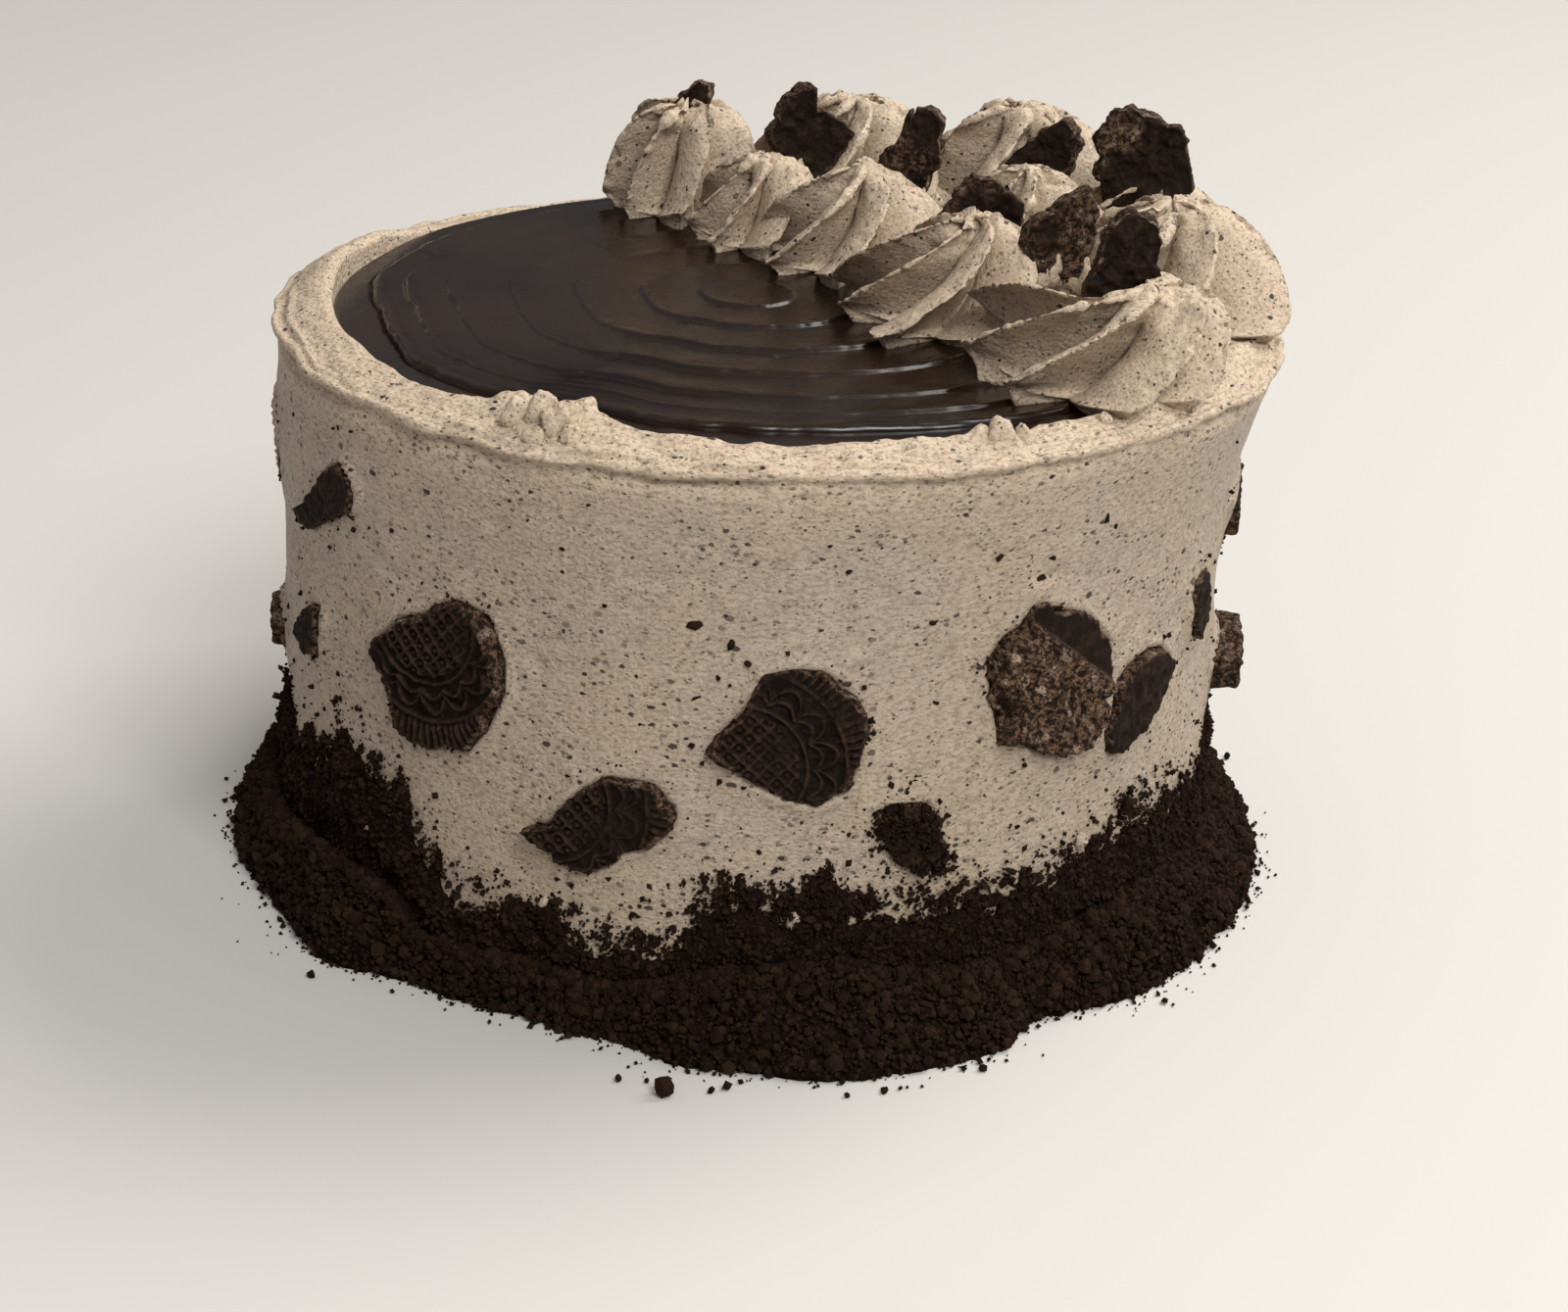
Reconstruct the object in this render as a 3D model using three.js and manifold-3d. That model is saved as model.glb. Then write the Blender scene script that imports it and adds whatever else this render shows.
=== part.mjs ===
// A cookies and cream cake: a round cake under speckled buttercream, with a craggy rim round a disc of
// dark ganache, a crescent of star-tipped swirls with broken cookies stood in it, more cookies pressed
// into the side, and a bank of cookie crumbs round the foot.
//
// Units are millimetres and degrees. Z is up, and the origin is the middle of the base. Azimuth 0 is the
// +X side, and the side seen first faces azimuth -90.

import * as THREE from "three";
import { mergeVertices } from "three/addons/utils/BufferGeometryUtils.js";
import Module from "manifold-3d";

const wasm = await Module();
wasm.setup();

// ---- Driving dimensions ----------------------------------------------------------------------------

const clearance = 0.3; // between any two pieces that touch

const wallRadius = 77;
const footEdge = 0.9; // how far the wall is rounded in at the base
const cakeSides = 54;

const rimHeight = 93.6; // crest of the buttercream rim
const lipHeight = 91; // outer edge of the rim
const lipFlareFront = 2.6; // how far the lip leans out past the wall
const lipFlareRight = 7.2;
const lipPoint = -14; // azimuth of the pointed lip
const ledgeHeight = 87; // thin ledge that the scraper left under the lip

const ganacheLevel = 92.2;
const ganacheDepth = 3.2;
const ganacheRadius = 71.4;
const ganacheShift = 2.8; // the disc sits a little to the +X side
const rimDrop = 4.4; // at the back the rim lies lower than the ganache
const rimDropAzimuth = 118;
const ridgeSpacing = 10.4; // between the spatula's rings
const ridgeHeight = 0.75;
const ridgeCentre = new THREE.Vector2(-3, 6);

const blobAzimuth = -115; // a lump of buttercream that hangs over the ganache
const blobReach = 3.4;
const blobHeight = 1.8;

const crumbSides = 76;
// Top of the crumbs on the wall, and how far the bank reaches out at its foot: [azimuth, size]
const crumbLine = [
  [-180, 24], [-159, 26], [-143, 33], [-134, 31], [-126, 18.5], [-112, 20], [-104, 17.5], [-89, 26],
  [-79, 29], [-70, 22], [-60, 22], [-46, 25], [-35, 28], [-24, 26], [-8, 25], [20, 21], [46, 27],
  [75, 19], [101, 25], [135, 18], [158, 28],
];
const crumbFoot = [
  [-180, 87.5], [-150, 85], [-138, 87], [-128, 81.5], [-115, 81], [-104, 82.5], [-92, 88.5], [-78, 91.5],
  [-65, 90], [-55, 83.5], [-42, 87.5], [-20, 87], [10, 87.5], [45, 85], [80, 88.5], [120, 84.5],
];

const petals = 7;
const petalShares = [0, 0.18, 0.36, 0.7]; // crest, steep face, valley, gentle back
const petalFace = 0.36; // share of a petal that its steep face takes
const petalLean = 0.12;
const swirlTwist = 72;
const swirlFloor = ganacheLevel + ridgeHeight / 2 + clearance;

// Piped swirls, each one laid partly over those before it.
// width: across the foot. fullness: 1 is a cone, 3 a low dome. turn: azimuth of its first petal.
// crests: [azimuth, reach, rise] of each petal, for the two seen best. peak: how far its tip is pulled
// aside.
const swirls = [
  { name: "swirl_back_left", x: -14.5, y: 55, width: 31, height: 19, fullness: 4.5, turn: 10 },
  { name: "swirl_back", x: 15, y: 57, width: 41, height: 20.5, fullness: 2.4, turn: 35 },
  { name: "swirl_back_right", x: 44, y: 51, width: 40, height: 21.5, fullness: 2.6, turn: 5 },
  { name: "swirl_right_back", x: 64.5, y: 28, width: 34, height: 15.5, fullness: 2.4, turn: 20 },
  { name: "swirl_left", x: -1, y: 37, width: 29, height: 15, fullness: 2, turn: 25 },
  { name: "swirl_inner", x: 16, y: 24, width: 37, height: 17, fullness: 1.9, turn: 0 },
  { name: "swirl_middle", x: 43, y: 19, width: 37, height: 19, fullness: 2, turn: 30 },
  { name: "swirl_right", x: 65.5, y: 0, width: 41, height: 19, fullness: 2.6, turn: 15 },
  {
    name: "swirl_centre", x: 32, y: -6, width: 43, height: 18, fullness: 1.7,
    crests: [
      [28, 0.95, 1], [90, 1, 1], [140, 1.12, 1], [182, 0.92, 0.95], [229, 1.05, 0.9], [286, 0.9, 1],
      [338, 0.9, 1],
    ],
    peak: [2, -2],
  },
  {
    name: "swirl_front", x: 53, y: -37, width: 46, height: 16, fullness: 3.4,
    crests: [
      [28, 1, 1], [84, 0.95, 1], [134, 1.14, 1.15], [178, 0.96, 1.08], [213, 0.88, 0.92],
      [274, 0.86, 0.95], [318, 0.82, 1],
    ],
    peak: [6, -1],
    dent: { x: -2, y: 4, depth: 6, reach: 6 },
  },
];

// Cookie pieces stood in the swirls. z: height of the middle. facing: azimuth of the broad face.
// tip: how far it leans back. outline: its corners, as [across, up] from the middle.
const crownCookies = [
  {
    name: "crown_cookie_1", x: -13.9, y: 57.2, z: 111.2, facing: -95, tip: 8,
    outline: [
      [3.8, 0], [3.4, 3], [2, 4.7], [0.6, 4.4], [-1.2, 2.5], [-2.9, -1], [-3.8, -3], [-3, -8.5], [1.5, -9],
      [3.5, -5],
    ],
  },
  {
    name: "crown_cookie_2", x: 6.7, y: 46.2, z: 111, facing: -80, tip: 8,
    outline: [
      [6.1, 0.5], [1.5, 3.2], [1.3, 6.1], [0.1, 6.8], [-1.5, 6.4], [-3.6, 4.8], [-5.7, 1.6], [-7.8, -1.2],
      [-6.5, -8], [-1, -11], [5, -8], [6.7, -3.7], [7.8, -1.6],
    ],
  },
  {
    name: "crown_cookie_3", x: 23.8, y: 31.4, z: 109.5, facing: -100, tip: 8,
    outline: [
      [5.7, 6.6], [3.2, 8.9], [1.3, 9.4], [0.3, 8.7], [0.5, 5.7], [-2.8, 1.3], [-5.8, -2], [-7.7, -5],
      [-5, -8.5], [1, -9], [4, -5], [5.6, -0.1],
    ],
  },
  {
    name: "crown_cookie_4", x: 34.4, y: -1.1, z: 109.7, facing: -85, tip: 8,
    outline: [
      [7.3, 0.6], [6.1, 1.7], [3.8, 3.9], [1.5, 4.9], [-0.8, 5.5], [-4.1, 2.6], [-6.2, -0.2], [-7.3, -2.4],
      [-5, -8], [0, -9.5], [5, -7], [6.8, -1.7],
    ],
  },
  {
    name: "crown_cookie_5", x: 46.7, y: 32.6, z: 112, facing: -105, tip: 8,
    outline: [
      [6.5, 1.4], [5.1, 3.9], [3.5, 5.2], [0.6, 3.5], [-2.1, 1.2], [-4.9, -1.5], [-6.5, -3.7], [-6, -7.5],
      [-3, -9.5], [3, -8], [5, -3],
    ],
  },
  {
    name: "crown_cookie_6", x: 46.8, y: -9.2, z: 110.9, facing: -75, tip: 8,
    outline: [
      [6.5, 0.5], [5.6, 2.7], [4.6, 4.9], [3.2, 4.2], [-0.8, 2.4], [-4.3, 0.3], [-6.5, -3.5], [-6, -7],
      [-3, -9.5], [3, -9], [5.7, -3],
    ],
  },
  {
    name: "crown_cookie_7", x: 63.1, y: 26.3, z: 112.5, facing: -90, tip: 6,
    outline: [
      [7.3, 0.6], [7.6, 3.2], [6.3, 4.9], [3.3, 5.7], [0.9, 7.1], [-2, 7.7], [-5.5, 6.8], [-7.7, 5.3],
      [-8.5, 3], [-8, -4], [-6, -10.5], [0, -13], [6, -10], [8.5, -5.2],
    ],
  },
  {
    name: "crown_cookie_8", x: 54.9, y: -30, z: 110.1, facing: -88, tip: 6,
    outline: [
      [5.8, 2.2], [5.1, 5.4], [3.3, 7.5], [1.2, 7.8], [-1.4, 6.8], [-2.6, 4.6], [-3.7, 0.9], [-5.9, -3.5],
      [-6, -5.7], [-4.5, -11], [1, -12], [5, -6], [6, -1],
    ],
  },
];

// Cookie pieces pressed into the wall. proud: how far the face stands out of the buttercream.
// Those without an outline of their own have a random one of the given width and height.
const sideCookies = [
  {
    azimuth: -146, z: 71.5, proud: 1.9,
    outline: [
      [9, 4], [8.5, 6], [5.4, 8.4], [2.4, 6.7], [-8.2, -2.8], [-11.3, -4.7], [-9.1, -6.4], [-5, -5.8],
      [-2.5, -4.4], [7.5, 0.9],
    ],
  },
  {
    azimuth: -152.7, z: 47.5, proud: 1.9,
    outline: [
      [5.6, 2.2], [5.2, 5.4], [2.4, 4.9], [-2.5, 1.4], [-5.6, -3.2], [-2.9, -4.4], [0.3, -5.4],
      [3.3, -3.6],
    ],
  },
  {
    azimuth: -126.9, z: 51.7, proud: 1.6,
    outline: [
      [13.4, 0], [13.3, 5.4], [10.5, 11.7], [4.5, 12.9], [0.3, 11], [-1, 9.3], [-7.2, 7.1], [-11.8, 2.6],
      [-13.4, 0], [-10.5, -3.4], [-8.1, -10.8], [-4.8, -12.9], [6.5, -11.2], [10.5, -6.4],
    ],
  },
  {
    azimuth: -105.5, z: 33.7, proud: 2.1,
    outline: [
      [11.2, 0.2], [12, 3.8], [8.6, 7.7], [1.7, 8.3], [-2.4, 5.8], [-6, 1.7], [-8.1, -1.5], [-12, -2.9],
      [-10.9, -4.2], [-5.4, -8], [-1.2, -8.5], [1.9, -6.6], [3.9, -3.9], [8.3, -2.2],
    ],
  },
  {
    azimuth: -84.9, z: 50.1, proud: 1.6,
    outline: [
      [11.8, 0.9], [10.2, 4.6], [7.1, 8.9], [4.6, 10.5], [0.8, 11.1], [-3.9, 10], [-6.6, 4.8], [-11.8, -2.5],
      [-7.7, -5.7], [-2.8, -8.7], [3.5, -11.1], [6.4, -10.4], [9.3, -8.4], [11.3, -3.8],
    ],
  },
  {
    azimuth: -70.6, z: 32.5, proud: 1.8,
    outline: [
      [3.4, 0.6], [4.4, 2.9], [2.1, 5.6], [-3.1, 6], [-6.1, 4.6], [-4.9, 1.3], [-2.1, -3.8], [1.6, -6],
      [5.1, -5.9], [6.1, -3.9],
    ],
  },
  {
    azimuth: -53.7, z: 54.4, proud: 1.9,
    outline: [
      [12, 3.4], [6.3, 9], [1.5, 11.4], [-4.2, 13.4], [-6.9, 10], [-9.2, 9.1], [-12, 5.1], [-11.1, 0],
      [-9.4, -7.7], [-6.1, -8.9], [1.7, -13.4], [7.8, -12.8], [10.2, -8.6], [11.7, -0.8],
    ],
  },
  {
    azimuth: -40.4, z: 46.1, proud: 2.2,
    outline: [
      [10.4, 4], [8.4, 6.6], [4.3, 7.6], [-0.7, 5.8], [-3.6, 3], [-6.4, -3.4], [-5.2, -7], [-1.6, -7.6],
      [3.3, -5.3], [8.6, -0.9],
    ],
  },
  { azimuth: -24, z: 55, width: 8, height: 13, lean: 8, proud: 1.7 },
  { azimuth: -8, z: 65, width: 10, height: 13, lean: 0, proud: 2.6 },
  { azimuth: -4, z: 36.5, width: 17, height: 13, lean: 12, proud: 5 },
  { azimuth: 20, z: 62, width: 20, height: 18, lean: 25, proud: 1.8 },
  { azimuth: 41, z: 40, width: 17, height: 19, lean: -30, proud: 2 },
  { azimuth: 63, z: 60, width: 22, height: 21, lean: 10, proud: 1.6 },
  { azimuth: 86, z: 43, width: 19, height: 15, lean: -18, proud: 2 },
  { azimuth: 108, z: 63, width: 15, height: 21, lean: 30, proud: 1.8 },
  { azimuth: 129, z: 38, width: 21, height: 14, lean: 12, proud: 2 },
  { azimuth: 153, z: 57, width: 22, height: 22, lean: -15, proud: 1.6 },
  { azimuth: -174, z: 38, width: 13, height: 9, lean: -10, proud: 2.6 },
  { azimuth: -171, z: 72, width: 9, height: 14, lean: 4, proud: 0.7 },
];
const cookieThickness = 5.2;
const cookieCorners = 9;
const cookieBevel = 0.8;

// ---- Materials -------------------------------------------------------------------------------------

const buttercream = new THREE.MeshStandardMaterial({ color: "#b5a18a", roughness: 0.62, metalness: 0 });
const ganache = new THREE.MeshStandardMaterial({ color: "#2c1a14", roughness: 0.22, metalness: 0 });
const cookie = new THREE.MeshStandardMaterial({ color: "#24160f", roughness: 0.9, metalness: 0 });
const crumbs = new THREE.MeshStandardMaterial({ color: "#21130d", roughness: 0.95, metalness: 0 });

// ---- Small helpers ---------------------------------------------------------------------------------

const { degToRad, lerp, euclideanModulo, clamp } = THREE.MathUtils;

function seededRandom(seed) {
  let state = seed * 2654435761;
  return () => {
    state = (state + 0x6d2b79f5) | 0;
    let mixed = Math.imul(state ^ (state >>> 15), 1 | state);
    mixed = (mixed + Math.imul(mixed ^ (mixed >>> 7), 61 | mixed)) ^ mixed;
    return ((mixed ^ (mixed >>> 14)) >>> 0) / 4294967296;
  };
}

// A smooth swelling at one azimuth: 1 at its centre, 0 well outside its width.
function swelling(azimuth, centre, width) {
  const away = euclideanModulo(azimuth - centre + 180, 360) - 180;
  return Math.exp(-((away / width) ** 2));
}

// Gentle unevenness round the cake, between about -1 and 1.
function ripple(azimuth, seed) {
  const random = seededRandom(seed);
  let sum = 0;
  for (const lobes of [3, 5, 9, 14]) sum += Math.sin(degToRad(lobes * azimuth) + 6.283 * random());
  return sum / 2.6;
}

// A closed skin turned round the Z axis. Each row gives [radius, height] at an azimuth, and may add the
// X and Y of its own centre and a turn about it. Rows run from the underside, up the outside and back
// to the axis.
function turnedSkin(rows, sides, isRing = false) {
  const loop = isRing ? [...rows, rows[0]] : rows;
  const profile = loop.map((row) => new THREE.Vector2(...row(0).slice(0, 2)));
  const geometry = new THREE.LatheGeometry(profile, sides);
  const position = geometry.getAttribute("position");
  for (let side = 0; side <= sides; side++) {
    const azimuth = (360 * (side % sides)) / sides;
    loop.forEach((row, index) => {
      const [radius, height, centreX = 0, centreY = 0, turned = 0] = row(azimuth);
      const x = centreX + radius * Math.cos(degToRad(azimuth + turned));
      const y = centreY + radius * Math.sin(degToRad(azimuth + turned));
      position.setXYZ(side * loop.length + index, x, y, height);
    });
  }
  return geometry;
}

// ---- Joining and cutting ---------------------------------------------------------------------------

function toSolid(geometry) {
  const bare = geometry.clone();
  bare.deleteAttribute("normal");
  bare.deleteAttribute("uv");
  const merged = mergeVertices(bare, 1e-4);
  const corners = merged.index.array;
  const triangles = [];
  for (let i = 0; i < corners.length; i += 3) {
    const [a, b, c] = corners.slice(i, i + 3);
    if (a !== b && b !== c && c !== a) triangles.push(a, b, c);
  }
  const vertProperties = Float32Array.from(merged.getAttribute("position").array);
  return new wasm.Manifold(
    new wasm.Mesh({ numProp: 3, vertProperties, triVerts: Uint32Array.from(triangles) }),
  );
}

function toGeometry(solid) {
  const { vertProperties, triVerts } = solid.getMesh();
  const geometry = new THREE.BufferGeometry();
  geometry.setAttribute("position", new THREE.BufferAttribute(Float32Array.from(vertProperties), 3));
  geometry.setIndex(new THREE.BufferAttribute(Uint32Array.from(triVerts), 1));
  geometry.computeVertexNormals();
  return geometry;
}

function worldSolid(mesh, geometry) {
  mesh.updateWorldMatrix(true, false);
  return toSolid(geometry.clone().applyMatrix4(mesh.matrixWorld));
}

// Cuts the cutters' room out of a mesh and keeps its main body, without loose scraps.
function carve(mesh, cutters) {
  let solid = worldSolid(mesh, mesh.geometry);
  for (const cutter of cutters) solid = solid.subtract(cutter);
  const bodies = solid.decompose().sort((a, b) => b.volume() - a.volume());
  mesh.geometry = toGeometry(bodies[0]).applyMatrix4(mesh.matrixWorld.clone().invert());
}

// ---- The buttercream-coated cake -------------------------------------------------------------------

function lipFlare(azimuth) {
  const left = 1 - swelling(azimuth, 155, 65);
  return lipFlareFront * left + (lipFlareRight - lipFlareFront) * swelling(azimuth, lipPoint, 28);
}

function backDrop(azimuth) {
  return rimDrop * swelling(azimuth, rimDropAzimuth, 30);
}

function rimCrest(azimuth) {
  const leftRise = 2 * swelling(azimuth, 168, 20);
  const blob = blobHeight * swelling(azimuth, blobAzimuth, 6);
  return rimHeight + 0.35 * ripple(azimuth, 4) - backDrop(azimuth) + leftRise + blob;
}

function recessRadius(azimuth) {
  const shifted = ganacheRadius + ganacheShift * Math.cos(degToRad(azimuth));
  return shifted + 0.35 * ripple(azimuth, 9) - blobReach * swelling(azimuth, blobAzimuth, 8);
}

function cakeGeometry(grow = 0) {
  const wall = (azimuth, height) => {
    const flare = lipFlare(azimuth) * clamp((height - 54) / (lipHeight - 54), 0, 1) ** 2;
    const unevenness = 0.25 * ripple(azimuth, 2) * clamp(height / 40, 0, 1);
    return wallRadius + grow + flare + unevenness;
  };
  const lip = (azimuth) => wall(azimuth, lipHeight) + 0.5 * ripple(azimuth * 2, 6);
  const lipTop = (azimuth) => lipHeight - 0.55 * backDrop(azimuth);
  const inner = (azimuth) => recessRadius(azimuth) - grow;
  const floor = ganacheLevel - ganacheDepth - clearance;
  const rim = (share) => (azimuth) => lerp(inner(azimuth), lip(azimuth), share);
  const rows = [
    () => [0, -grow],
    () => [wallRadius + grow - footEdge, -grow],
    () => [wallRadius + grow, footEdge * 1.6],
    (a) => [wall(a, 24), 24],
    (a) => [wall(a, 44), 44],
    (a) => [wall(a, 58), 58],
    (a) => [wall(a, 68), 68],
    (a) => [wall(a, 76), 76],
    (a) => [wall(a, 82.5), 82.5],
    (a) => [wall(a, ledgeHeight) + 0.7, ledgeHeight],
    (a) => [wall(a, ledgeHeight) - 0.2, ledgeHeight + 1.3],
    (a) => [lip(a), lipTop(a) + grow + 0.4 * ripple(a * 2, 8)],
    (a) => [rim(0.8)(a), lerp(lipTop(a) + 1, rimCrest(a), 0.45) + grow],
    (a) => [rim(0.42)(a), rimCrest(a) - 0.3 + grow],
    (a) => [rim(0.14)(a), rimCrest(a) + grow],
    (a) => [inner(a), rimCrest(a) - 0.9 + grow],
    (a) => [inner(a), floor + grow],
    () => [0, floor + grow],
  ];
  return turnedSkin(rows, cakeSides);
}

// ---- The ganache disc ------------------------------------------------------------------------------

function ganacheGeometry() {
  const edge = (azimuth) => recessRadius(azimuth) - clearance;
  const bottom = ganacheLevel - ganacheDepth;
  const rows = [
    () => [0, bottom],
    (a) => [edge(a) - 0.6, bottom],
    (a) => [edge(a), bottom + 0.8],
    (a) => [edge(a), ganacheLevel - 1.1],
    (a) => [edge(a) - 1, ganacheLevel - 0.2],
  ];
  const rings = 2 * Math.floor((ganacheRadius - 6) / ridgeSpacing);
  for (let ring = rings; ring > 0; ring--) {
    const share = ring / (rings + 0.6);
    const height = ganacheLevel + (ring % 2 ? 0.5 : -0.5) * ridgeHeight;
    rows.push((a) => [
      share * (edge(a) - 1),
      height,
      (1 - share) * ridgeCentre.x,
      (1 - share) * ridgeCentre.y,
    ]);
  }
  rows.push(() => [0, ganacheLevel, ridgeCentre.x, ridgeCentre.y]);
  return turnedSkin(rows, cakeSides);
}

// ---- The bank of crumbs ----------------------------------------------------------------------------

// The size that a line of [azimuth, size] pairs has at an azimuth.
function along(line, azimuth) {
  const turn = euclideanModulo(azimuth + 180, 360) - 180;
  const next = line.findIndex(([at]) => at > turn);
  const [startAt, startSize] = line[next < 0 ? line.length - 1 : next - 1];
  const [endAt, endSize] = next < 0 ? [180, line[0][1]] : line[next];
  return lerp(startSize, endSize, THREE.MathUtils.smoothstep(turn, startAt, endAt));
}

function crumbGeometry() {
  const random = seededRandom(31);
  const step = 360 / crumbSides;
  const jag = Array.from({ length: crumbSides }, () => 2.6 * (random() - 0.5));
  const lump = Array.from({ length: crumbSides * 12 }, () => random() - 0.5);
  const side = (azimuth) => Math.round(azimuth / step) % crumbSides;
  const top = (azimuth) => along(crumbLine, azimuth) + jag[side(azimuth)];
  const foot = (azimuth) => along(crumbFoot, azimuth) + 0.4 * ripple(azimuth * 2, 12);
  const inner = wallRadius + 0.25 + clearance;

  // The bank slopes like a loose heap, then thins out into crumbs that cling to the wall.
  const slope = (share, lumpiness) => (azimuth) => {
    const bump = lumpiness * lump[side(azimuth) * 12 + Math.round(share * 11)];
    const spread = (foot(azimuth) - inner - 1.6) * (1 - share) ** 1.9;
    return [inner + 1.6 - 0.7 * share + spread + bump, Math.max(0, share * top(azimuth) + 0.6 * bump)];
  };
  const rows = [
    () => [inner, 0],
    (a) => [foot(a) - 1, 0],
    slope(0.07, 1.6),
    slope(0.18, 2),
    slope(0.31, 2),
    slope(0.46, 1.8),
    slope(0.62, 1.2),
    slope(0.8, 0.8),
    (a) => [inner + 0.9, top(a)],
    (a) => [inner, top(a) - 0.7],
  ];
  return turnedSkin(rows, crumbSides, true);
}

// ---- Piped swirls ----------------------------------------------------------------------------------

// 0 on a petal's crest and 1 in the valley after it: a steep face, then a long gentle back.
function petalHollow(share) {
  if (share < petalFace) return 1 - (1 - share / petalFace) ** 1.8;
  return ((1 - share) / (1 - petalFace)) ** 1.15;
}

// How far the buttercream is pushed down beside a cookie.
function dentDepth({ x, y, depth, reach }, atX, atY) {
  return depth * Math.exp(-(Math.hypot(atX - x, atY - y) ** 2) / reach ** 2);
}

// An open star tip leaves sharp petals that lean over their steep faces and wind up to the peak.
function swirlGeometry(swirl, seed, grow = 0) {
  const { width, height, fullness, turn = 0, peak = [0, 0], dent } = swirl;
  const random = seededRandom(seed);
  const evenCrests = Array.from({ length: petals }, (_, petal) => [
    turn + (360 / petals) * (petal + 0.36 * (random() - 0.5)),
    0.86 + 0.24 * random(),
    0.86 + 0.2 * random(),
  ]);
  const crests = swirl.crests ?? evenCrests;
  const steps = petalShares.length;
  const sides = petals * steps;

  // climb runs from 0 at the foot to 1 at the peak. depth: how far the valleys cut in.
  const ring = (climb, depth) => (azimuth) => {
    const step = Math.round((azimuth / 360) * sides) % sides;
    const petal = Math.floor(step / steps);
    const after = (petal + 1) % petals;
    const share = petalShares[step % steps];
    const ease = THREE.MathUtils.smoothstep(share, 0, 1);
    const between = crests[petal].map((size, item) => lerp(size, crests[after][item], ease));
    const [, reach, rise] = between;
    const hollow = petalHollow(share);
    const out = Math.cos((climb * Math.PI) / 2) ** (2 / fullness);
    const dome = Math.sin((climb * Math.PI) / 2) ** (2 / 1.35);
    const radius = (width / 2) * out * reach * (1 - depth * hollow);
    const lift = 1 + (rise - 1) * (1 - dome ** 3);
    const level = height * dome * (lift - 0.5 * depth * hollow * (1 - dome ** 4));
    const spread = euclideanModulo(crests[after][0] - crests[petal][0], 360);
    const lean = ((360 * petalLean) / petals) * (1 - hollow) ** 2;
    const target = crests[petal][0] + share * spread + lean + swirlTwist * (1 - out) ** 0.9;
    const aside = dome ** 1.2;
    const [x, y] = [peak[0] * aside, peak[1] * aside];
    const atX = x + radius * Math.cos(degToRad(target));
    const atY = y + radius * Math.sin(degToRad(target));
    const sink = dent ? dentDepth(dent, atX, atY) : 0;
    return [radius + grow, level - sink + grow, x, y, target - azimuth];
  };
  const footRow = (azimuth) => {
    const [radius, , , , turned] = ring(0, 0.26)(azimuth);
    return [0.88 * radius, -grow, 0, 0, turned];
  };
  const rows = [
    () => [0, -grow],
    footRow,
    ring(0.18, 0.32),
    ring(0.44, 0.38),
    ring(0.74, 0.36),
    () => [0, height + grow, ...peak],
  ];
  return turnedSkin(rows, sides);
}

// ---- Broken cookie pieces --------------------------------------------------------------------------

// Corners of a broken piece at random distances from its middle.
function randomOutline({ width, height }, seed) {
  const random = seededRandom(seed);
  return Array.from({ length: cookieCorners }, (_, corner) => {
    const angle = (2 * Math.PI * (corner + 0.7 * (random() - 0.5))) / cookieCorners;
    const reach = 0.8 + 0.3 * random();
    return [(width / 2) * reach * Math.cos(angle), (height / 2) * reach * Math.sin(angle)];
  });
}

// A flat wafer piece with an uneven broken outline: its face is +Z, its upper end +Y.
function cookieGeometry(spot, seed, grow = 0) {
  const outline = new THREE.Shape();
  const corners = spot.outline ?? randomOutline(spot, seed);
  corners.forEach(([across, up], corner) => {
    const stretch = 1 + (grow - cookieBevel) / Math.hypot(across, up);
    if (corner === 0) outline.moveTo(across * stretch, up * stretch);
    else outline.lineTo(across * stretch, up * stretch);
  });
  outline.closePath();
  const depth = cookieThickness + 2 * (grow - cookieBevel);
  const geometry = new THREE.ExtrudeGeometry(outline, {
    depth,
    bevelThickness: cookieBevel,
    bevelSize: cookieBevel,
    bevelSegments: 1,
  });
  return geometry.translate(0, 0, -depth / 2);
}

// Stands a piece upright at a place, turned to face an azimuth, with its lean and its backward tip.
function place(mesh, position, facing, lean, tip = 0) {
  const stand = new THREE.Group();
  stand.position.copy(position);
  stand.rotation.z = degToRad(facing + 90);
  mesh.rotation.set(degToRad(90 - tip), 0, degToRad(lean));
  stand.add(mesh);
  return stand;
}

function namedMesh(name, geometry, material) {
  const mesh = new THREE.Mesh(geometry, material);
  mesh.name = name;
  return mesh;
}

// ---- Putting the cake together ---------------------------------------------------------------------

const cake = new THREE.Group();

const body = namedMesh("cake", cakeGeometry(), buttercream);
const disc = namedMesh("ganache", ganacheGeometry(), ganache);
const bank = namedMesh("crumb_bank", crumbGeometry(), crumbs);
cake.add(body, disc, bank);

// Side cookies, and the room that each takes in the wall.
const sidePockets = sideCookies.map((spot, index) => {
  const seed = 50 + index;
  const mesh = namedMesh(`side_cookie_${index + 1}`, cookieGeometry(spot, seed), cookie);
  const out = wallRadius + spot.proud - cookieThickness / 2;
  const around = degToRad(spot.azimuth);
  const position = new THREE.Vector3(out * Math.cos(around), out * Math.sin(around), spot.z);
  cake.add(place(mesh, position, spot.azimuth, spot.lean ?? 0));
  return worldSolid(mesh, cookieGeometry(spot, seed, clearance));
});
carve(body, sidePockets);
carve(bank, sidePockets);

// Cookies on top, and the room that each takes in the swirls.
const crownPockets = crownCookies.map((spot, index) => {
  const seed = 120 + index;
  const mesh = namedMesh(spot.name, cookieGeometry(spot, seed), cookie);
  cake.add(place(mesh, new THREE.Vector3(spot.x, spot.y, spot.z), spot.facing, 0, spot.tip));
  return worldSolid(mesh, cookieGeometry(spot, seed, clearance));
});

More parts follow.
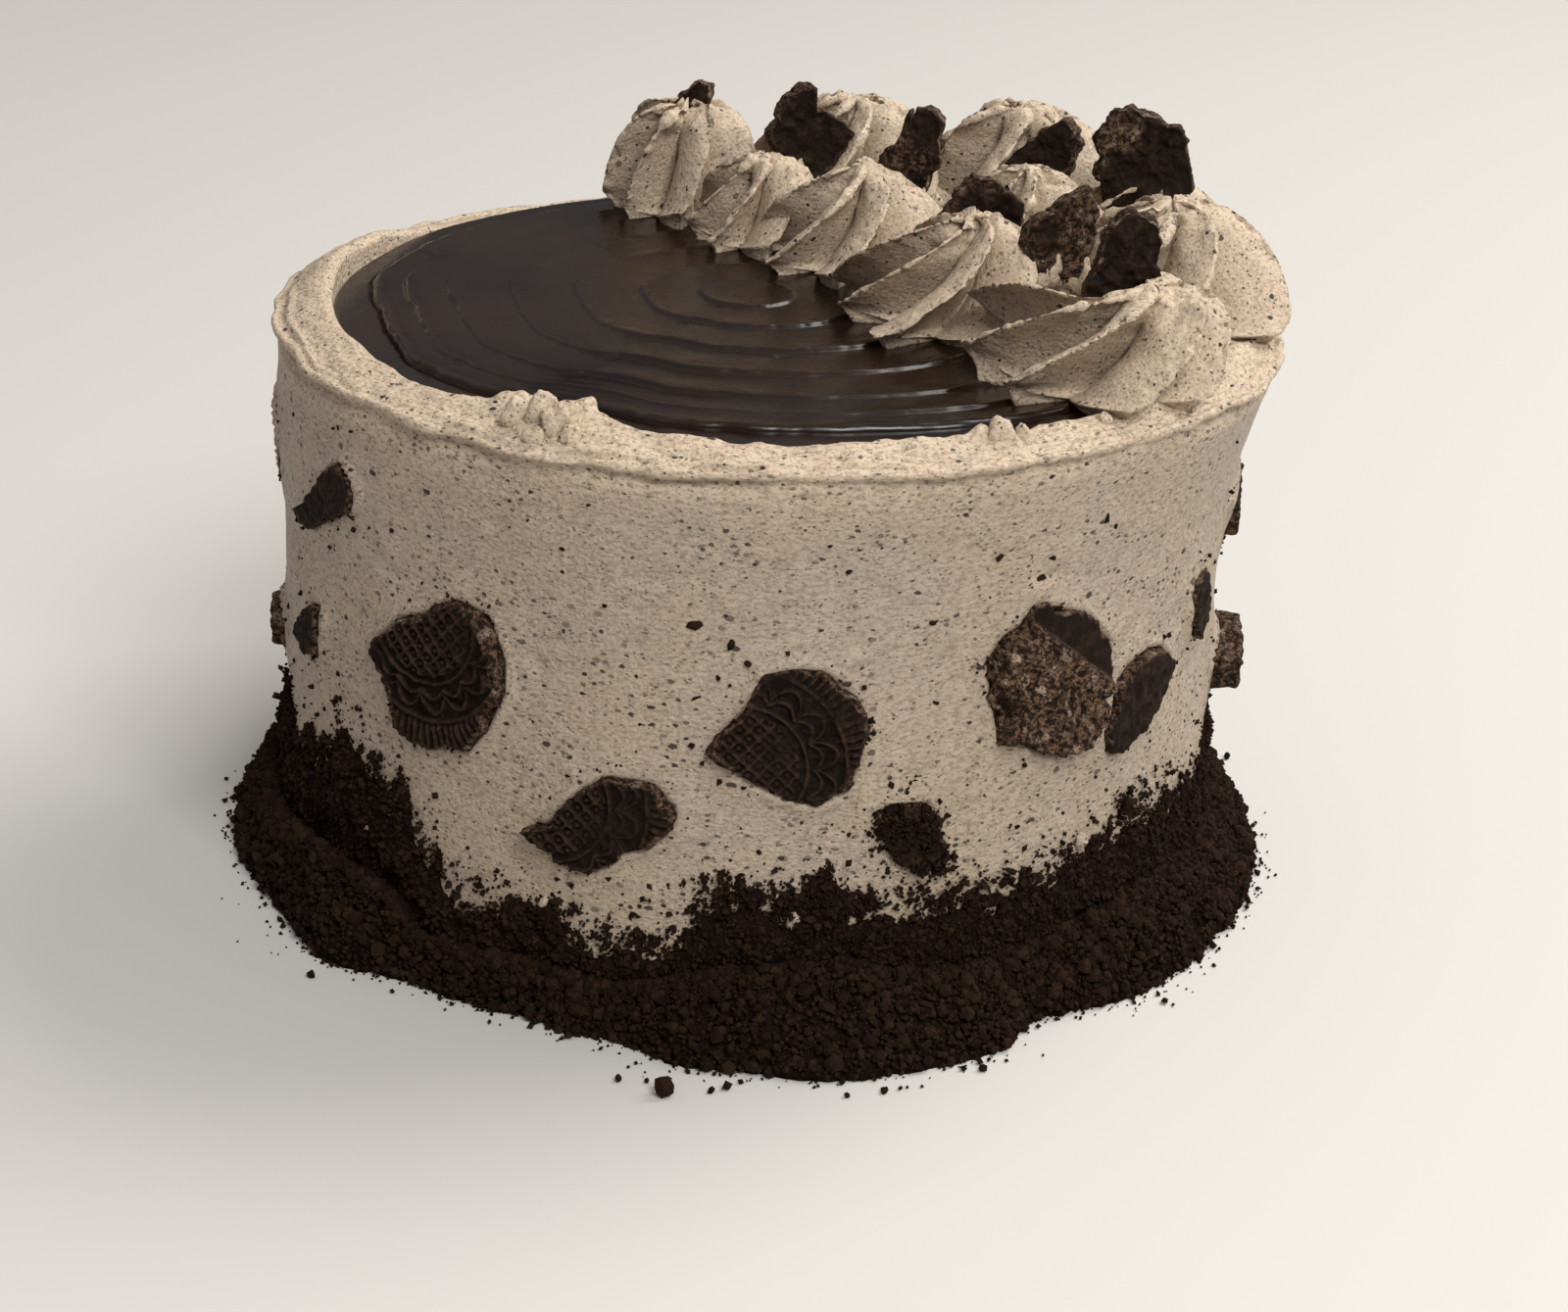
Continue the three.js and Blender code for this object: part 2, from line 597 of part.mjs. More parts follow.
const cakeRoom = toSolid(cakeGeometry(clearance));
const swirlMeshes = swirls.map((swirl, index) => {
  const mesh = namedMesh(swirl.name, swirlGeometry(swirl, 80 + index), buttercream);
  mesh.position.set(swirl.x, swirl.y, swirlFloor);
  cake.add(mesh);
  return mesh;
});
swirlMeshes.forEach((mesh, index) => {
  const later = swirlMeshes.slice(index + 1).flatMap((other, step) => {
    const which = index + 1 + step;
    return [0, clearance].map((grow) => worldSolid(other, swirlGeometry(swirls[which], 80 + which, grow)));
  });
  carve(mesh, [...later, ...crownPockets, cakeRoom]);
});

export default cake;
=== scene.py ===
"""A round cookies and cream cake, dressed over its CAD solids.

Lengths are millimetres until a mesh is made, and azimuths are degrees, 0 on the +X side and -90 on the
side seen first. Each piece takes its place from the same named sizes as the solid that it replaces.
"""

import math

import bpy
import numpy as np
from mathutils import Matrix, Vector


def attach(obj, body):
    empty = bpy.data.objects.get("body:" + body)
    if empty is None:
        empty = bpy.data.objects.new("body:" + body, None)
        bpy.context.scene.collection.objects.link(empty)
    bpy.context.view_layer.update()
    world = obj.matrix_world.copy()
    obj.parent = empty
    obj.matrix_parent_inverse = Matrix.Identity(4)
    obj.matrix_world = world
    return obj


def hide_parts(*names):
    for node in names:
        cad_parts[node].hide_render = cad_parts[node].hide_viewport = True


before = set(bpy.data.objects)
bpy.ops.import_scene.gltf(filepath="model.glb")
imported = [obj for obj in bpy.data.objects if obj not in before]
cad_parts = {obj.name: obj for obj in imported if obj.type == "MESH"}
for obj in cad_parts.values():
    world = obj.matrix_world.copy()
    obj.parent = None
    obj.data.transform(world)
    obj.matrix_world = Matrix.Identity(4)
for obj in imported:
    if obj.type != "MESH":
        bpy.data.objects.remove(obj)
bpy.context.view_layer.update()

MM = 0.001

# ---- Sizes of the cake -----------------------------------------------------------------------------

WALL_RADIUS = 77.0
FOOT_EDGE = 0.9
RIM_HEIGHT = 93.6
LIP_HEIGHT = 91.0
LIP_FLARE_FRONT = 2.6
LIP_FLARE_RIGHT = 7.2
LIP_POINT = -14
RIM_DROP = 4.4
RIM_DROP_AZIMUTH = 118

GANACHE_LEVEL = 92.2
GANACHE_DEPTH = 3.2
GANACHE_RADIUS = 71.4
GANACHE_SHIFT = 2.8
RING_CENTRE = np.array([-3.0, 6.0])
# Where each ring of the spatula ends. The last but one is the disc's torn edge.
RING_RADII = np.array([0, 8, 18.5, 30.5, 42, 53, 60.5, 66, 74])
RING_STEP = 0.75
EDGE_BAND = 4.8
EDGE_BAND_FRONT = 5.2

BLOB_AZIMUTH = -115
BLOB_REACH = 3.4
BLOB_HEIGHT = 1.8
NUB_AZIMUTH = -61.0

# Top of the crumbs on the wall, and how far the bank reaches out at its foot: azimuth, size
CRUMB_LINE = [
    (-180, 24), (-159, 26), (-143, 33), (-134, 31), (-126, 18.5), (-112, 20), (-104, 17.5), (-89, 26),
    (-79, 29), (-70, 22), (-60, 22), (-46, 25), (-35, 28), (-24, 26), (-8, 25), (20, 21), (46, 27),
    (75, 19), (101, 25), (135, 18), (158, 28), (180, 24),
]
CRUMB_FOOT = [
    (-180, 87.5), (-150, 85), (-138, 87), (-128, 81.5), (-115, 81), (-104, 82.5), (-92, 88.5),
    (-78, 91.5), (-65, 90), (-55, 83.5), (-42, 87.5), (-20, 87), (10, 87.5), (45, 85), (80, 88.5),
    (120, 84.5), (180, 87.5),
]

PETALS = 7
PETAL_FACE = 0.36
PETAL_LEAN = 0.2
SWIRL_TWIST = 72
SWIRL_FLOOR = 92.9

# Piped swirls. crests: (azimuth, reach, rise) of each petal, for the two seen best. peak: how far the
# tip is pulled aside. detail: how finely it is meshed.
SWIRLS = [
    dict(name="swirl_back_left", x=-14.5, y=55, width=31, height=19, fullness=4.5, turn=10, detail=0.65),
    dict(name="swirl_back", x=15, y=57, width=41, height=20.5, fullness=2.4, turn=35, detail=0.65),
    dict(name="swirl_back_right", x=44, y=51, width=40, height=21.5, fullness=2.6, turn=5, detail=0.65),
    dict(name="swirl_right_back", x=64.5, y=28, width=34, height=15.5, fullness=2.4, turn=20, detail=0.65),
    dict(name="swirl_left", x=-1, y=37, width=29, height=15, fullness=2, turn=25, detail=0.65),
    dict(name="swirl_inner", x=16, y=24, width=37, height=17, fullness=1.9, turn=0, detail=0.75),
    dict(name="swirl_middle", x=43, y=19, width=37, height=19, fullness=2, turn=30, detail=0.7),
    dict(name="swirl_right", x=65.5, y=0, width=41, height=19, fullness=2.6, turn=15, detail=0.9),
    dict(
        name="swirl_centre", x=32, y=-6, width=43, height=18, fullness=1.7, peak=(2, -2), detail=0.9,
        crests=[
            (28, 0.95, 1), (90, 1, 1), (140, 1.12, 1), (182, 0.92, 0.95), (229, 1.05, 0.9),
            (286, 0.9, 1), (338, 0.9, 1),
        ],
    ),
    dict(
        name="swirl_front", x=53, y=-37, width=46, height=16, fullness=3.4, peak=(6, -1), detail=1.0,
        dent=dict(x=-2, y=4, depth=6, reach=6),
        lifts=[2, 3, 8.5, 6, 3.5, 2, 2],
        hollows=[1.25, 1, 1, 1, 1.1, 1.4, 1.45],
        crests=[
            (28, 1, 1), (84, 0.95, 1), (134, 1.14, 1.15), (178, 0.96, 1.08), (213, 0.88, 0.92),
            (274, 0.86, 0.95), (318, 0.82, 1),
        ],
    ),
]

COOKIE_THICKNESS = 5.2
COOKIE_CORNERS = 9
WAFER_RADIUS = 22.0

# The first of each kind of piece draws its random numbers from this seed, the next from one more
SIDE_COOKIE_SEED = 50
SWIRL_SEED = 80
CROWN_COOKIE_SEED = 120

# Cookies stood in the swirls. z: height of the middle. facing: azimuth of the broad face. tip: how far
# it leans back. outline: its corners, (across, up) from the middle. face: how the face is finished.
CROWN_COOKIES = [
    dict(
        x=-13.9, y=57.2, z=111.2, facing=-95, tip=8, face="plain",
        outline=[
            (3.8, 0), (3.4, 3), (2, 4.7), (0.6, 4.4), (-1.2, 2.5), (-2.9, -1), (-3.8, -3), (-3, -8.5),
            (1.5, -9), (3.5, -5),
        ],
    ),
    dict(
        x=6.7, y=46.2, z=111, facing=-80, tip=8, face="plain",
        outline=[
            (6.1, 0.5), (1.5, 3.2), (1.3, 6.1), (0.1, 6.8), (-1.5, 6.4), (-3.6, 4.8), (-5.7, 1.6),
            (-7.8, -1.2), (-6.5, -8), (-1, -11), (5, -8), (6.7, -3.7), (7.8, -1.6),
        ],
    ),
    dict(
        x=23.8, y=31.4, z=109.5, facing=-100, tip=8, face="mixed",
        outline=[
            (5.7, 6.6), (3.2, 8.9), (1.3, 9.4), (0.3, 8.7), (0.5, 5.7), (-2.8, 1.3), (-5.8, -2),
            (-7.7, -5), (-5, -8.5), (1, -9), (4, -5), (5.6, -0.1),
        ],
    ),
    dict(
        x=34.4, y=-1.1, z=109.7, facing=-85, tip=8, face="mixed",
        outline=[
            (7.3, 0.6), (6.1, 1.7), (3.8, 3.9), (1.5, 4.9), (-0.8, 5.5), (-4.1, 2.6), (-6.2, -0.2),
            (-7.3, -2.4), (-5, -8), (0, -9.5), (5, -7), (6.8, -1.7),
        ],
    ),
    dict(
        x=46.7, y=32.6, z=112, facing=-105, tip=8, face="plain",
        outline=[
            (6.5, 1.4), (5.1, 3.9), (3.5, 5.2), (0.6, 3.5), (-2.1, 1.2), (-4.9, -1.5), (-6.5, -3.7),
            (-6, -7.5), (-3, -9.5), (3, -8), (5, -3),
        ],
    ),
    dict(
        x=46.8, y=-9.2, z=110.9, facing=-75, tip=8, face="mixed",
        outline=[
            (6.5, 0.5), (5.6, 2.7), (4.6, 4.9), (3.2, 4.2), (-0.8, 2.4), (-4.3, 0.3), (-6.5, -3.5),
            (-6, -7), (-3, -9.5), (3, -9), (5.7, -3),
        ],
    ),
    dict(
        x=63.1, y=26.3, z=112.5, facing=-90, tip=6, face="mixed",
        outline=[
            (7.3, 0.6), (7.6, 3.2), (6.3, 4.9), (3.3, 5.7), (0.9, 7.1), (-2, 7.7), (-5.5, 6.8),
            (-7.7, 5.3), (-8.5, 3), (-8, -4), (-6, -10.5), (0, -13), (6, -10), (8.5, -5.2),
        ],
    ),
    dict(
        x=54.9, y=-30, z=110.1, facing=-88, tip=6, face="grainy",
        outline=[
            (5.8, 2.2), (5.1, 5.4), (3.3, 7.5), (1.2, 7.8), (-1.4, 6.8), (-2.6, 4.6), (-3.7, 0.9),
            (-5.9, -3.5), (-6, -5.7), (-4.5, -11), (1, -12), (5, -6), (6, -1),
        ],
    ),
]

# Cookies pressed into the wall. z: height of the middle. proud: how far the face stands out. A cookie
# without an outline gets a random one of its width and height, turned by its lean.
SIDE_COOKIES = [
    dict(
        azimuth=-146, z=71.5, proud=1.9, face="plain",
        outline=[
            (9, 4), (8.5, 6), (5.4, 8.4), (2.4, 6.7), (-8.2, -2.8), (-11.3, -4.7), (-9.1, -6.4),
            (-5, -5.8), (-2.5, -4.4), (7.5, 0.9),
        ],
    ),
    dict(
        azimuth=-152.7, z=47.5, proud=1.9, face="plain",
        outline=[
            (5.6, 2.2), (5.2, 5.4), (2.4, 4.9), (-2.5, 1.4), (-5.6, -3.2), (-2.9, -4.4), (0.3, -5.4),
            (3.3, -3.6),
        ],
    ),
    dict(
        azimuth=-126.9, z=51.7, proud=1.6, face="embossed",
        outline=[
            (13.4, 0), (13.3, 5.4), (10.5, 11.7), (4.5, 12.9), (0.3, 11), (-1, 9.3), (-7.2, 7.1),
            (-11.8, 2.6), (-13.4, 0), (-10.5, -3.4), (-8.1, -10.8), (-4.8, -12.9), (6.5, -11.2),
            (10.5, -6.4),
        ],
    ),
    dict(
        azimuth=-105.5, z=33.7, proud=2.1, face="embossed",
        outline=[
            (11.2, 0.2), (12, 3.8), (8.6, 7.7), (1.7, 8.3), (-2.4, 5.8), (-6, 1.7), (-8.1, -1.5),
            (-12, -2.9), (-10.9, -4.2), (-5.4, -8), (-1.2, -8.5), (1.9, -6.6), (3.9, -3.9), (8.3, -2.2),
        ],
    ),
    dict(
        azimuth=-84.9, z=50.1, proud=1.6, face="embossed",
        outline=[
            (11.8, 0.9), (10.2, 4.6), (7.1, 8.9), (4.6, 10.5), (0.8, 11.1), (-3.9, 10), (-6.6, 4.8),
            (-11.8, -2.5), (-7.7, -5.7), (-2.8, -8.7), (3.5, -11.1), (6.4, -10.4), (9.3, -8.4),
            (11.3, -3.8),
        ],
    ),
    dict(
        azimuth=-70.6, z=32.5, proud=1.8, face="rough",
        outline=[
            (3.4, 0.6), (4.4, 2.9), (2.1, 5.6), (-3.1, 6), (-6.1, 4.6), (-4.9, 1.3), (-2.1, -3.8),
            (1.6, -6), (5.1, -5.9), (6.1, -3.9),
        ],
    ),
    dict(
        azimuth=-53.7, z=54.4, proud=1.9, face="broken",
        outline=[
            (12, 3.4), (6.3, 9), (1.5, 11.4), (-4.2, 13.4), (-6.9, 10), (-9.2, 9.1), (-12, 5.1),
            (-11.1, 0), (-9.4, -7.7), (-6.1, -8.9), (1.7, -13.4), (7.8, -12.8), (10.2, -8.6),
            (11.7, -0.8),
        ],
    ),
    dict(
        azimuth=-40.4, z=46.1, proud=2.2, face="plain",
        outline=[
            (10.4, 4), (8.4, 6.6), (4.3, 7.6), (-0.7, 5.8), (-3.6, 3), (-6.4, -3.4), (-5.2, -7),
            (-1.6, -7.6), (3.3, -5.3), (8.6, -0.9),
        ],
    ),
    dict(azimuth=-24, z=55, width=8, height=13, lean=8, proud=1.7, face="plain"),
    dict(azimuth=-8, z=65, width=10, height=13, lean=0, proud=2.6, face="plain"),
    dict(azimuth=-4, z=36.5, width=17, height=13, lean=12, proud=5, face="plain"),
    dict(azimuth=20, z=62, width=20, height=18, lean=25, proud=1.8, face="embossed"),
    dict(azimuth=41, z=40, width=17, height=19, lean=-30, proud=2, face="broken"),
    dict(azimuth=63, z=60, width=22, height=21, lean=10, proud=1.6, face="embossed"),
    dict(azimuth=86, z=43, width=19, height=15, lean=-18, proud=2, face="plain"),
    dict(azimuth=108, z=63, width=15, height=21, lean=30, proud=1.8, face="broken"),
    dict(azimuth=129, z=38, width=21, height=14, lean=12, proud=2, face="embossed"),
    dict(azimuth=153, z=57, width=22, height=22, lean=-15, proud=1.6, face="embossed"),
    dict(azimuth=-174, z=38, width=13, height=9, lean=-10, proud=2.6, face="plain"),
    dict(azimuth=-171, z=72, width=9, height=14, lean=4, proud=0.7, face="plain"),
]

# ---- Random draws and noise ------------------------------------------------------------------------


def seeded_random(seed):
    """A repeatable stream of numbers from 0 to 1, the same one that shaped the solids."""
    state = (seed * 2654435761) & 0xFFFFFFFF
    while True:
        state = (state + 0x6D2B79F5) & 0xFFFFFFFF
        mixed = ((state ^ (state >> 15)) * (1 | state)) & 0xFFFFFFFF
        turned = ((mixed ^ (mixed >> 7)) * (61 | mixed)) & 0xFFFFFFFF
        mixed = ((mixed + turned) & 0xFFFFFFFF) ^ mixed
        yield (mixed ^ (mixed >> 14)) / 4294967296


def swelling(azimuth, centre, width):
    """1 at one azimuth, falling smoothly to 0 either side of it."""
    away = (np.asarray(azimuth) - centre + 180) % 360 - 180
    return np.exp(-((away / width) ** 2))


def ripple(azimuth, seed):
    """Gentle unevenness round the cake, between about -1 and 1."""
    draw = seeded_random(seed)
    waves = [np.sin(np.radians(lobes * np.asarray(azimuth)) + 6.283 * next(draw)) for lobes in (3, 5, 9, 14)]
    return sum(waves) / 2.6


def along(line, azimuth):
    """The size that a line of (azimuth, size) pairs has at each azimuth."""
    turn = (np.asarray(azimuth, float) + 180) % 360 - 180
    at, size = np.array(line, float).T
    index = np.clip(np.searchsorted(at, turn, side="right"), 1, len(at) - 1)
    share = (turn - at[index - 1]) / (at[index] - at[index - 1])
    share = share * share * (3 - 2 * share)
    return size[index - 1] + (size[index] - size[index - 1]) * share


def lumps(points, size, seed):
    """Smooth random values from -1 to 1 that change over about the given size.

    Each use has a seed of its own, so that no two patterns line up.
    """
    scaled = np.asarray(points, float) / size + 31.7 * seed
    cell = np.floor(scaled).astype(np.int64)
    part = scaled - cell
    part = part * part * (3 - 2 * part)
    total = np.zeros(scaled.shape[:-1])
    for corner in np.ndindex(2, 2, 2):
        key = ((cell + corner) * np.array([73856093, 19349663, 83492791])).sum(-1) + seed * 7919
        key = ((key ^ (key >> 13)) * 1274126177) & 0x7FFFFFFF
        key = (key ^ (key >> 15)) * 668265263 & 0x7FFFFFFF
        value = ((key >> 8) & 0xFFFF) / 32767.5 - 1
        weight = np.prod(np.where(np.array(corner) == 1, part, 1 - part), axis=-1)
        total += weight * value
    return total


def crags(points, size, seed, layers=3):
    """Lumps with finer lumps on them."""
    return sum(lumps(points, size / 2**layer, seed + layer) / 2**layer for layer in range(layers))


# ---- Mesh making -----------------------------------------------------------------------------------


def make_piece(name, points, faces, node_names, material, smooth=True):
    """A mesh piece from points in millimetres, riding on the cake and standing for its CAD nodes."""
    mesh = bpy.data.meshes.new(name)
    mesh.from_pydata((np.asarray(points) * MM).tolist(), [], faces)
    mesh.polygons.foreach_set("use_smooth", [smooth] * len(mesh.polygons))
    mesh.update()
    piece = bpy.data.objects.new(name, mesh)
    bpy.context.scene.collection.objects.link(piece)
    mesh.materials.append(material)
    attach(piece, "root")
    if node_names:
        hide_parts(*node_names)
    return piece


def grid_faces(rows, sides, first=0):
    """Quads between rows of points that each go once round."""
    row, side = np.meshgrid(np.arange(rows - 1), np.arange(sides), indexing="ij")
    after = (side + 1) % sides
    low, high = first + row * sides, first + (row + 1) * sides
    return np.stack([low + side, low + after, high + after, high + side], -1).reshape(-1, 4).tolist()


def closed_skin(grid):
    """Points and faces of rows that start and end at a pole, each row going once round."""
    rows, sides = grid.shape[:2]
    points = np.concatenate([grid.reshape(-1, 3), [grid[0].mean(0), grid[-1].mean(0)]])
    faces = grid_faces(rows, sides)
    bottom, top = rows * sides, rows * sides + 1
    last = (rows - 1) * sides
    for side in range(sides):
        after = (side + 1) % sides
        faces.append([bottom, after, side])
        faces.append([top, last + side, last + after])
    return points, faces


def normals_of(grid):
    """Outward normals of a grid of rows that each go once round."""
    round_way = np.roll(grid, -1, 1) - np.roll(grid, 1, 1)
    up_way = np.gradient(grid, axis=0)
    normal = np.cross(round_way, up_way)
    return normal / np.maximum(np.linalg.norm(normal, axis=-1, keepdims=True), 1e-9)


def smooth_rows(controls, steps):
    """Rows that run smoothly through the control rows, with the given steps between each two."""
    before = np.concatenate([controls[:1], controls[:-1]])
    after = np.concatenate([controls[2:], controls[-1:]])
    rows = []
    for index, count in enumerate(steps):
        p0, p1, p2, p3 = before[index], controls[index], controls[index + 1], after[index]
        for share in np.arange(count) / count:
            bend = (2 * p0 - 5 * p1 + 4 * p2 - p3) * share**2 + (3 * p1 - p0 - 3 * p2 + p3) * share**3
            rows.append(0.5 * (2 * p1 + (p2 - p0) * share + bend))
    rows.append(controls[-1])
    return np.array(rows)


def mark(piece, name, values):
    """Keeps a value from 0 to 1 at each point, for the material."""
    layer = piece.data.attributes.new(name, "FLOAT", "POINT")
    layer.data.foreach_set("value", np.asarray(values, np.float32).ravel())


# ---- Shapes shared by the buttercream, ganache and crumbs ------------------------------------------


def lip_flare(azimuth):
    front = LIP_FLARE_FRONT * (1 - swelling(azimuth, 155, 65))
    return front + (LIP_FLARE_RIGHT - LIP_FLARE_FRONT) * swelling(azimuth, LIP_POINT, 28)


def back_drop(azimuth):
    return RIM_DROP * swelling(azimuth, RIM_DROP_AZIMUTH, 30)


def rim_crest(azimuth):
    left_rise = 2 * swelling(azimuth, 168, 20)
    blob = BLOB_HEIGHT * swelling(azimuth, BLOB_AZIMUTH, 6)
    return RIM_HEIGHT + 0.35 * ripple(azimuth, 4) - back_drop(azimuth) + left_rise + blob


def recess_radius(azimuth):
    shifted = GANACHE_RADIUS + GANACHE_SHIFT * np.cos(np.radians(azimuth))
    blob = BLOB_REACH * swelling(azimuth, BLOB_AZIMUTH, 8)
    return shifted + 0.35 * ripple(azimuth, 9) - blob


def wall_radius(azimuth, height):
    flare = lip_flare(azimuth) * np.clip((height - 54) / (LIP_HEIGHT - 54), 0, 1) ** 2
    return WALL_RADIUS + flare + 0.25 * ripple(azimuth, 2) * np.clip(height / 40, 0, 1)


def polar(azimuth, radius, height):
    """Points from azimuth, radius and height."""
    azimuth, radius, height = np.broadcast_arrays(azimuth, radius, height)
    turn = np.radians(azimuth)
    return np.stack([radius * np.cos(turn), radius * np.sin(turn), height], -1)


# ---- Broken cookies --------------------------------------------------------------------------------


def random_outline(spot, seed):
    """Corners of a broken piece at random distances from its middle."""
    draw = seeded_random(seed)
    corners = []
    for corner in range(COOKIE_CORNERS):
        angle = 2 * math.pi * (corner + 0.7 * (next(draw) - 0.5)) / COOKIE_CORNERS
        reach = 0.8 + 0.3 * next(draw)
        across = spot["width"] / 2 * reach * math.cos(angle)
        upward = spot["height"] / 2 * reach * math.sin(angle)
        corners.append((across, upward))
    return corners


def corners_of(spot, seed):
    return np.array(spot.get("outline") or random_outline(spot, seed), float)


def cookie_reach(spot, seed, angles):
    """How far the piece reaches at each angle: straight breaks between its corners."""
    corners = corners_of(spot, seed)
    at = np.arctan2(corners[:, 1], corners[:, 0]) % (2 * math.pi)
    corners, at = corners[np.argsort(at)], np.sort(at)
    turned = np.asarray(angles) % (2 * math.pi)
    after = np.searchsorted(at, turned, side="right")
    before, after = corners[(after - 1) % len(at)], corners[after % len(at)]
    (x1, y1), (x2, y2) = np.moveaxis(before, -1, 0), np.moveaxis(after, -1, 0)
    across = x1 * y2 - x2 * y1
    return across / (np.cos(turned) * (y2 - y1) - np.sin(turned) * (x2 - x1))


def line_ridge(away, width):
    """A thin raised line where away is 0."""
    return np.exp(-((away / width) ** 2))


def wafer_relief(x, y, centre):
    """Edge ticks, rings, arches and a dotted lattice, raised in thin lines on a whole wafer's face."""
    across, angle = np.hypot(x - centre[0], y - centre[1]), np.arctan2(y - centre[1], x - centre[0])
    edge = WAFER_RADIUS - across
    around = (angle * 44 / math.pi + 0.5) % 1 - 0.5
    ticks = line_ridge(around * across * math.pi / 44, 0.38) * np.clip(3.4 - np.abs(edge - 2.9) * 1.3, 0, 1)
    rings = line_ridge(edge - 5.7, 0.34) + line_ridge(edge - 11.6, 0.34)
    lobe = np.abs(np.sin(8 * angle))
    arches = line_ridge(edge - 10.2 + 3.2 * lobe**0.7, 0.4) + line_ridge(edge - 10.6 + 1.4 * lobe, 0.36)
    arches = arches * np.clip((edge - 6.2) / 0.4, 0, 1) * np.clip((11.2 - edge) / 0.4, 0, 1)
    u, v = (x + y) / 2.9, (x - y) / 2.9
    net = line_ridge((u % 1 - 0.5) * 2.05, 0.3) + line_ridge((v % 1 - 0.5) * 2.05, 0.3)
    dots = line_ridge(np.hypot((u + 0.5) % 1 - 0.5, (v + 0.5) % 1 - 0.5) * 2.05, 0.42)
    field = (net + dots) * np.clip((edge - 12.4) / 0.5, 0, 1)
    return 0.9 * np.clip(ticks + rings + arches + field, 0, 1.1) - 0.4


# How rough each kind of face is, and how ragged its outline
COOKIE_GRAIN = {"embossed": 0.3, "plain": 0.4, "grainy": 0.55, "mixed": 0.5, "broken": 1.0, "rough": 1.9}
COOKIE_RAGGED = {"embossed": 0.75, "plain": 0.75, "grainy": 0.75, "mixed": 0.75, "broken": 1.0, "rough": 2.4}
FINE_STEP = 0.3
PLAIN_STEP = 0.5


def ragged_reach(spot, seed, angles):
    """The reach at each angle along the crumbly break."""
    reach = cookie_reach(spot, seed, angles)
    level = np.full(len(angles), 7.0 * seed)
    edge = np.stack([reach * np.cos(angles), reach * np.sin(angles), level], -1)
    ragged = COOKIE_RAGGED[spot["face"]]
    return reach + ragged * crags(edge, 2.6, seed) - 0.25 * ragged


def cookie_rows(rings):
    """Rows over the back face, round the broken side and over the front face.

    Each has its share of the reach, its height, and 1 where it is on the side.
    """
    half = COOKIE_THICKNESS / 2
    rows = [(share, -half, 0) for share in np.linspace(0.1, 0.86, 4)]
    rows += [(0.95, -half + 0.2, 1), (1.0, -half + 0.8, 1), (1.02, -half * 0.3, 1)]
    rows += [(1.01, half * 0.15, 1), (1.0, half * 0.5, 1), (0.995, half - 0.7, 1)]
    rows += [(0.985, half - 0.35, 1), (0.965, half - 0.08, 0.5)]
    rows += [(share, half, 0) for share in np.linspace(0.945, 0.04, rings)]
    return (np.array(column)[:, None] for column in zip(*rows))


def is_seen_close(spot):
    """Whether the cookie is on the side of the wall that is seen first, or on top."""
    return -165 < spot.get("azimuth", -90) < -15


def cookie_steps(spot, seed):
    """How many points go once round a cookie, and how many rows cross its face."""
    size = 2 * np.hypot(*corners_of(spot, seed).T).max()
    detailed = spot["face"] in ("embossed", "broken", "rough") and is_seen_close(spot)
    step = FINE_STEP if detailed else PLAIN_STEP
    return int(np.clip(math.pi * size / step, 72, 270)), int(np.clip(size / 2 / step, 12, 46))


def cookie_grid(spot, seed):
    """A slab as rows of points, how broken each point is, and how much painted highlight it takes on its
    raised lines and grain tops.
    """
    face = spot["face"]
    sides, rings = cookie_steps(spot, seed)
    angles = np.linspace(0, 2 * math.pi, sides, endpoint=False)
    reach = ragged_reach(spot, seed, angles)
    share, height, side = cookie_rows(rings)
    x, y = share * reach * np.cos(angles), share * reach * np.sin(angles)
    flat = np.stack([x, y, np.broadcast_to(height, x.shape)], -1)
    grid = flat.copy()
    front = np.clip(height / (COOKIE_THICKNESS / 2), 0, 1) * (1 - side)

    rough = crags(flat + 50 * seed, 1.5, seed + 3)
    centre = (9 * math.cos(seed), 9 * math.sin(seed))
    pressed = wafer_relief(x, y, centre) if face == "embossed" else 0
    worn = np.clip(0.8 + 0.9 * lumps(flat + 9 * seed, 6, seed + 5), 0.25, 1)
    grid[..., 2] += front * (pressed * worn + COOKIE_GRAIN[face] * rough)
    outward = np.stack([np.cos(angles), np.sin(angles)], -1)
    grid[..., :2] += (0.45 * side * rough)[..., None] * outward

    broken = side * np.ones_like(x) * 0.75
    if face == "broken":
        smooth_part = np.clip(0.62 * x + 0.78 * y - 4.6, 0, 1) * is_seen_close(spot)
        broken = np.maximum(broken, front * (1 - smooth_part))
        left_crevice = np.exp(-(((x + 0.86 * reach) / 1.6) ** 2)) * np.clip((2 - y) / 3, 0, 1)
        torn = 1.3 * (1 - smooth_part) - 0.9 * rough * smooth_part - 2.4 * left_crevice
        grid[..., 2] += front * torn
        broken = broken * (1 - 0.9 * front * left_crevice)
    elif face == "mixed":
        patches = np.clip(0.2 + 2 * lumps(flat + 3 * seed, 7, seed + 9), 0, 0.8)
        broken = np.maximum(broken, front * patches)
    elif face != "rough":
        patches = np.clip(1.8 * lumps(flat + 20 * seed, 6, seed + 8) - 0.1, 0, 1)
        edge_of_face = np.clip((share - 0.86) / 0.1, 0, 1)
        broken = np.maximum(broken, front * edge_of_face * patches)
    # How much painted highlight each point takes: the raised lines and the tops of the grain are painted
    # paler
    raised = front * np.clip(0.2 + 1.7 * pressed, 0, 1) * worn + 0.35 * front * np.clip(2 * rough, 0, 1)
    return grid, broken, np.clip(raised, 0, 1)


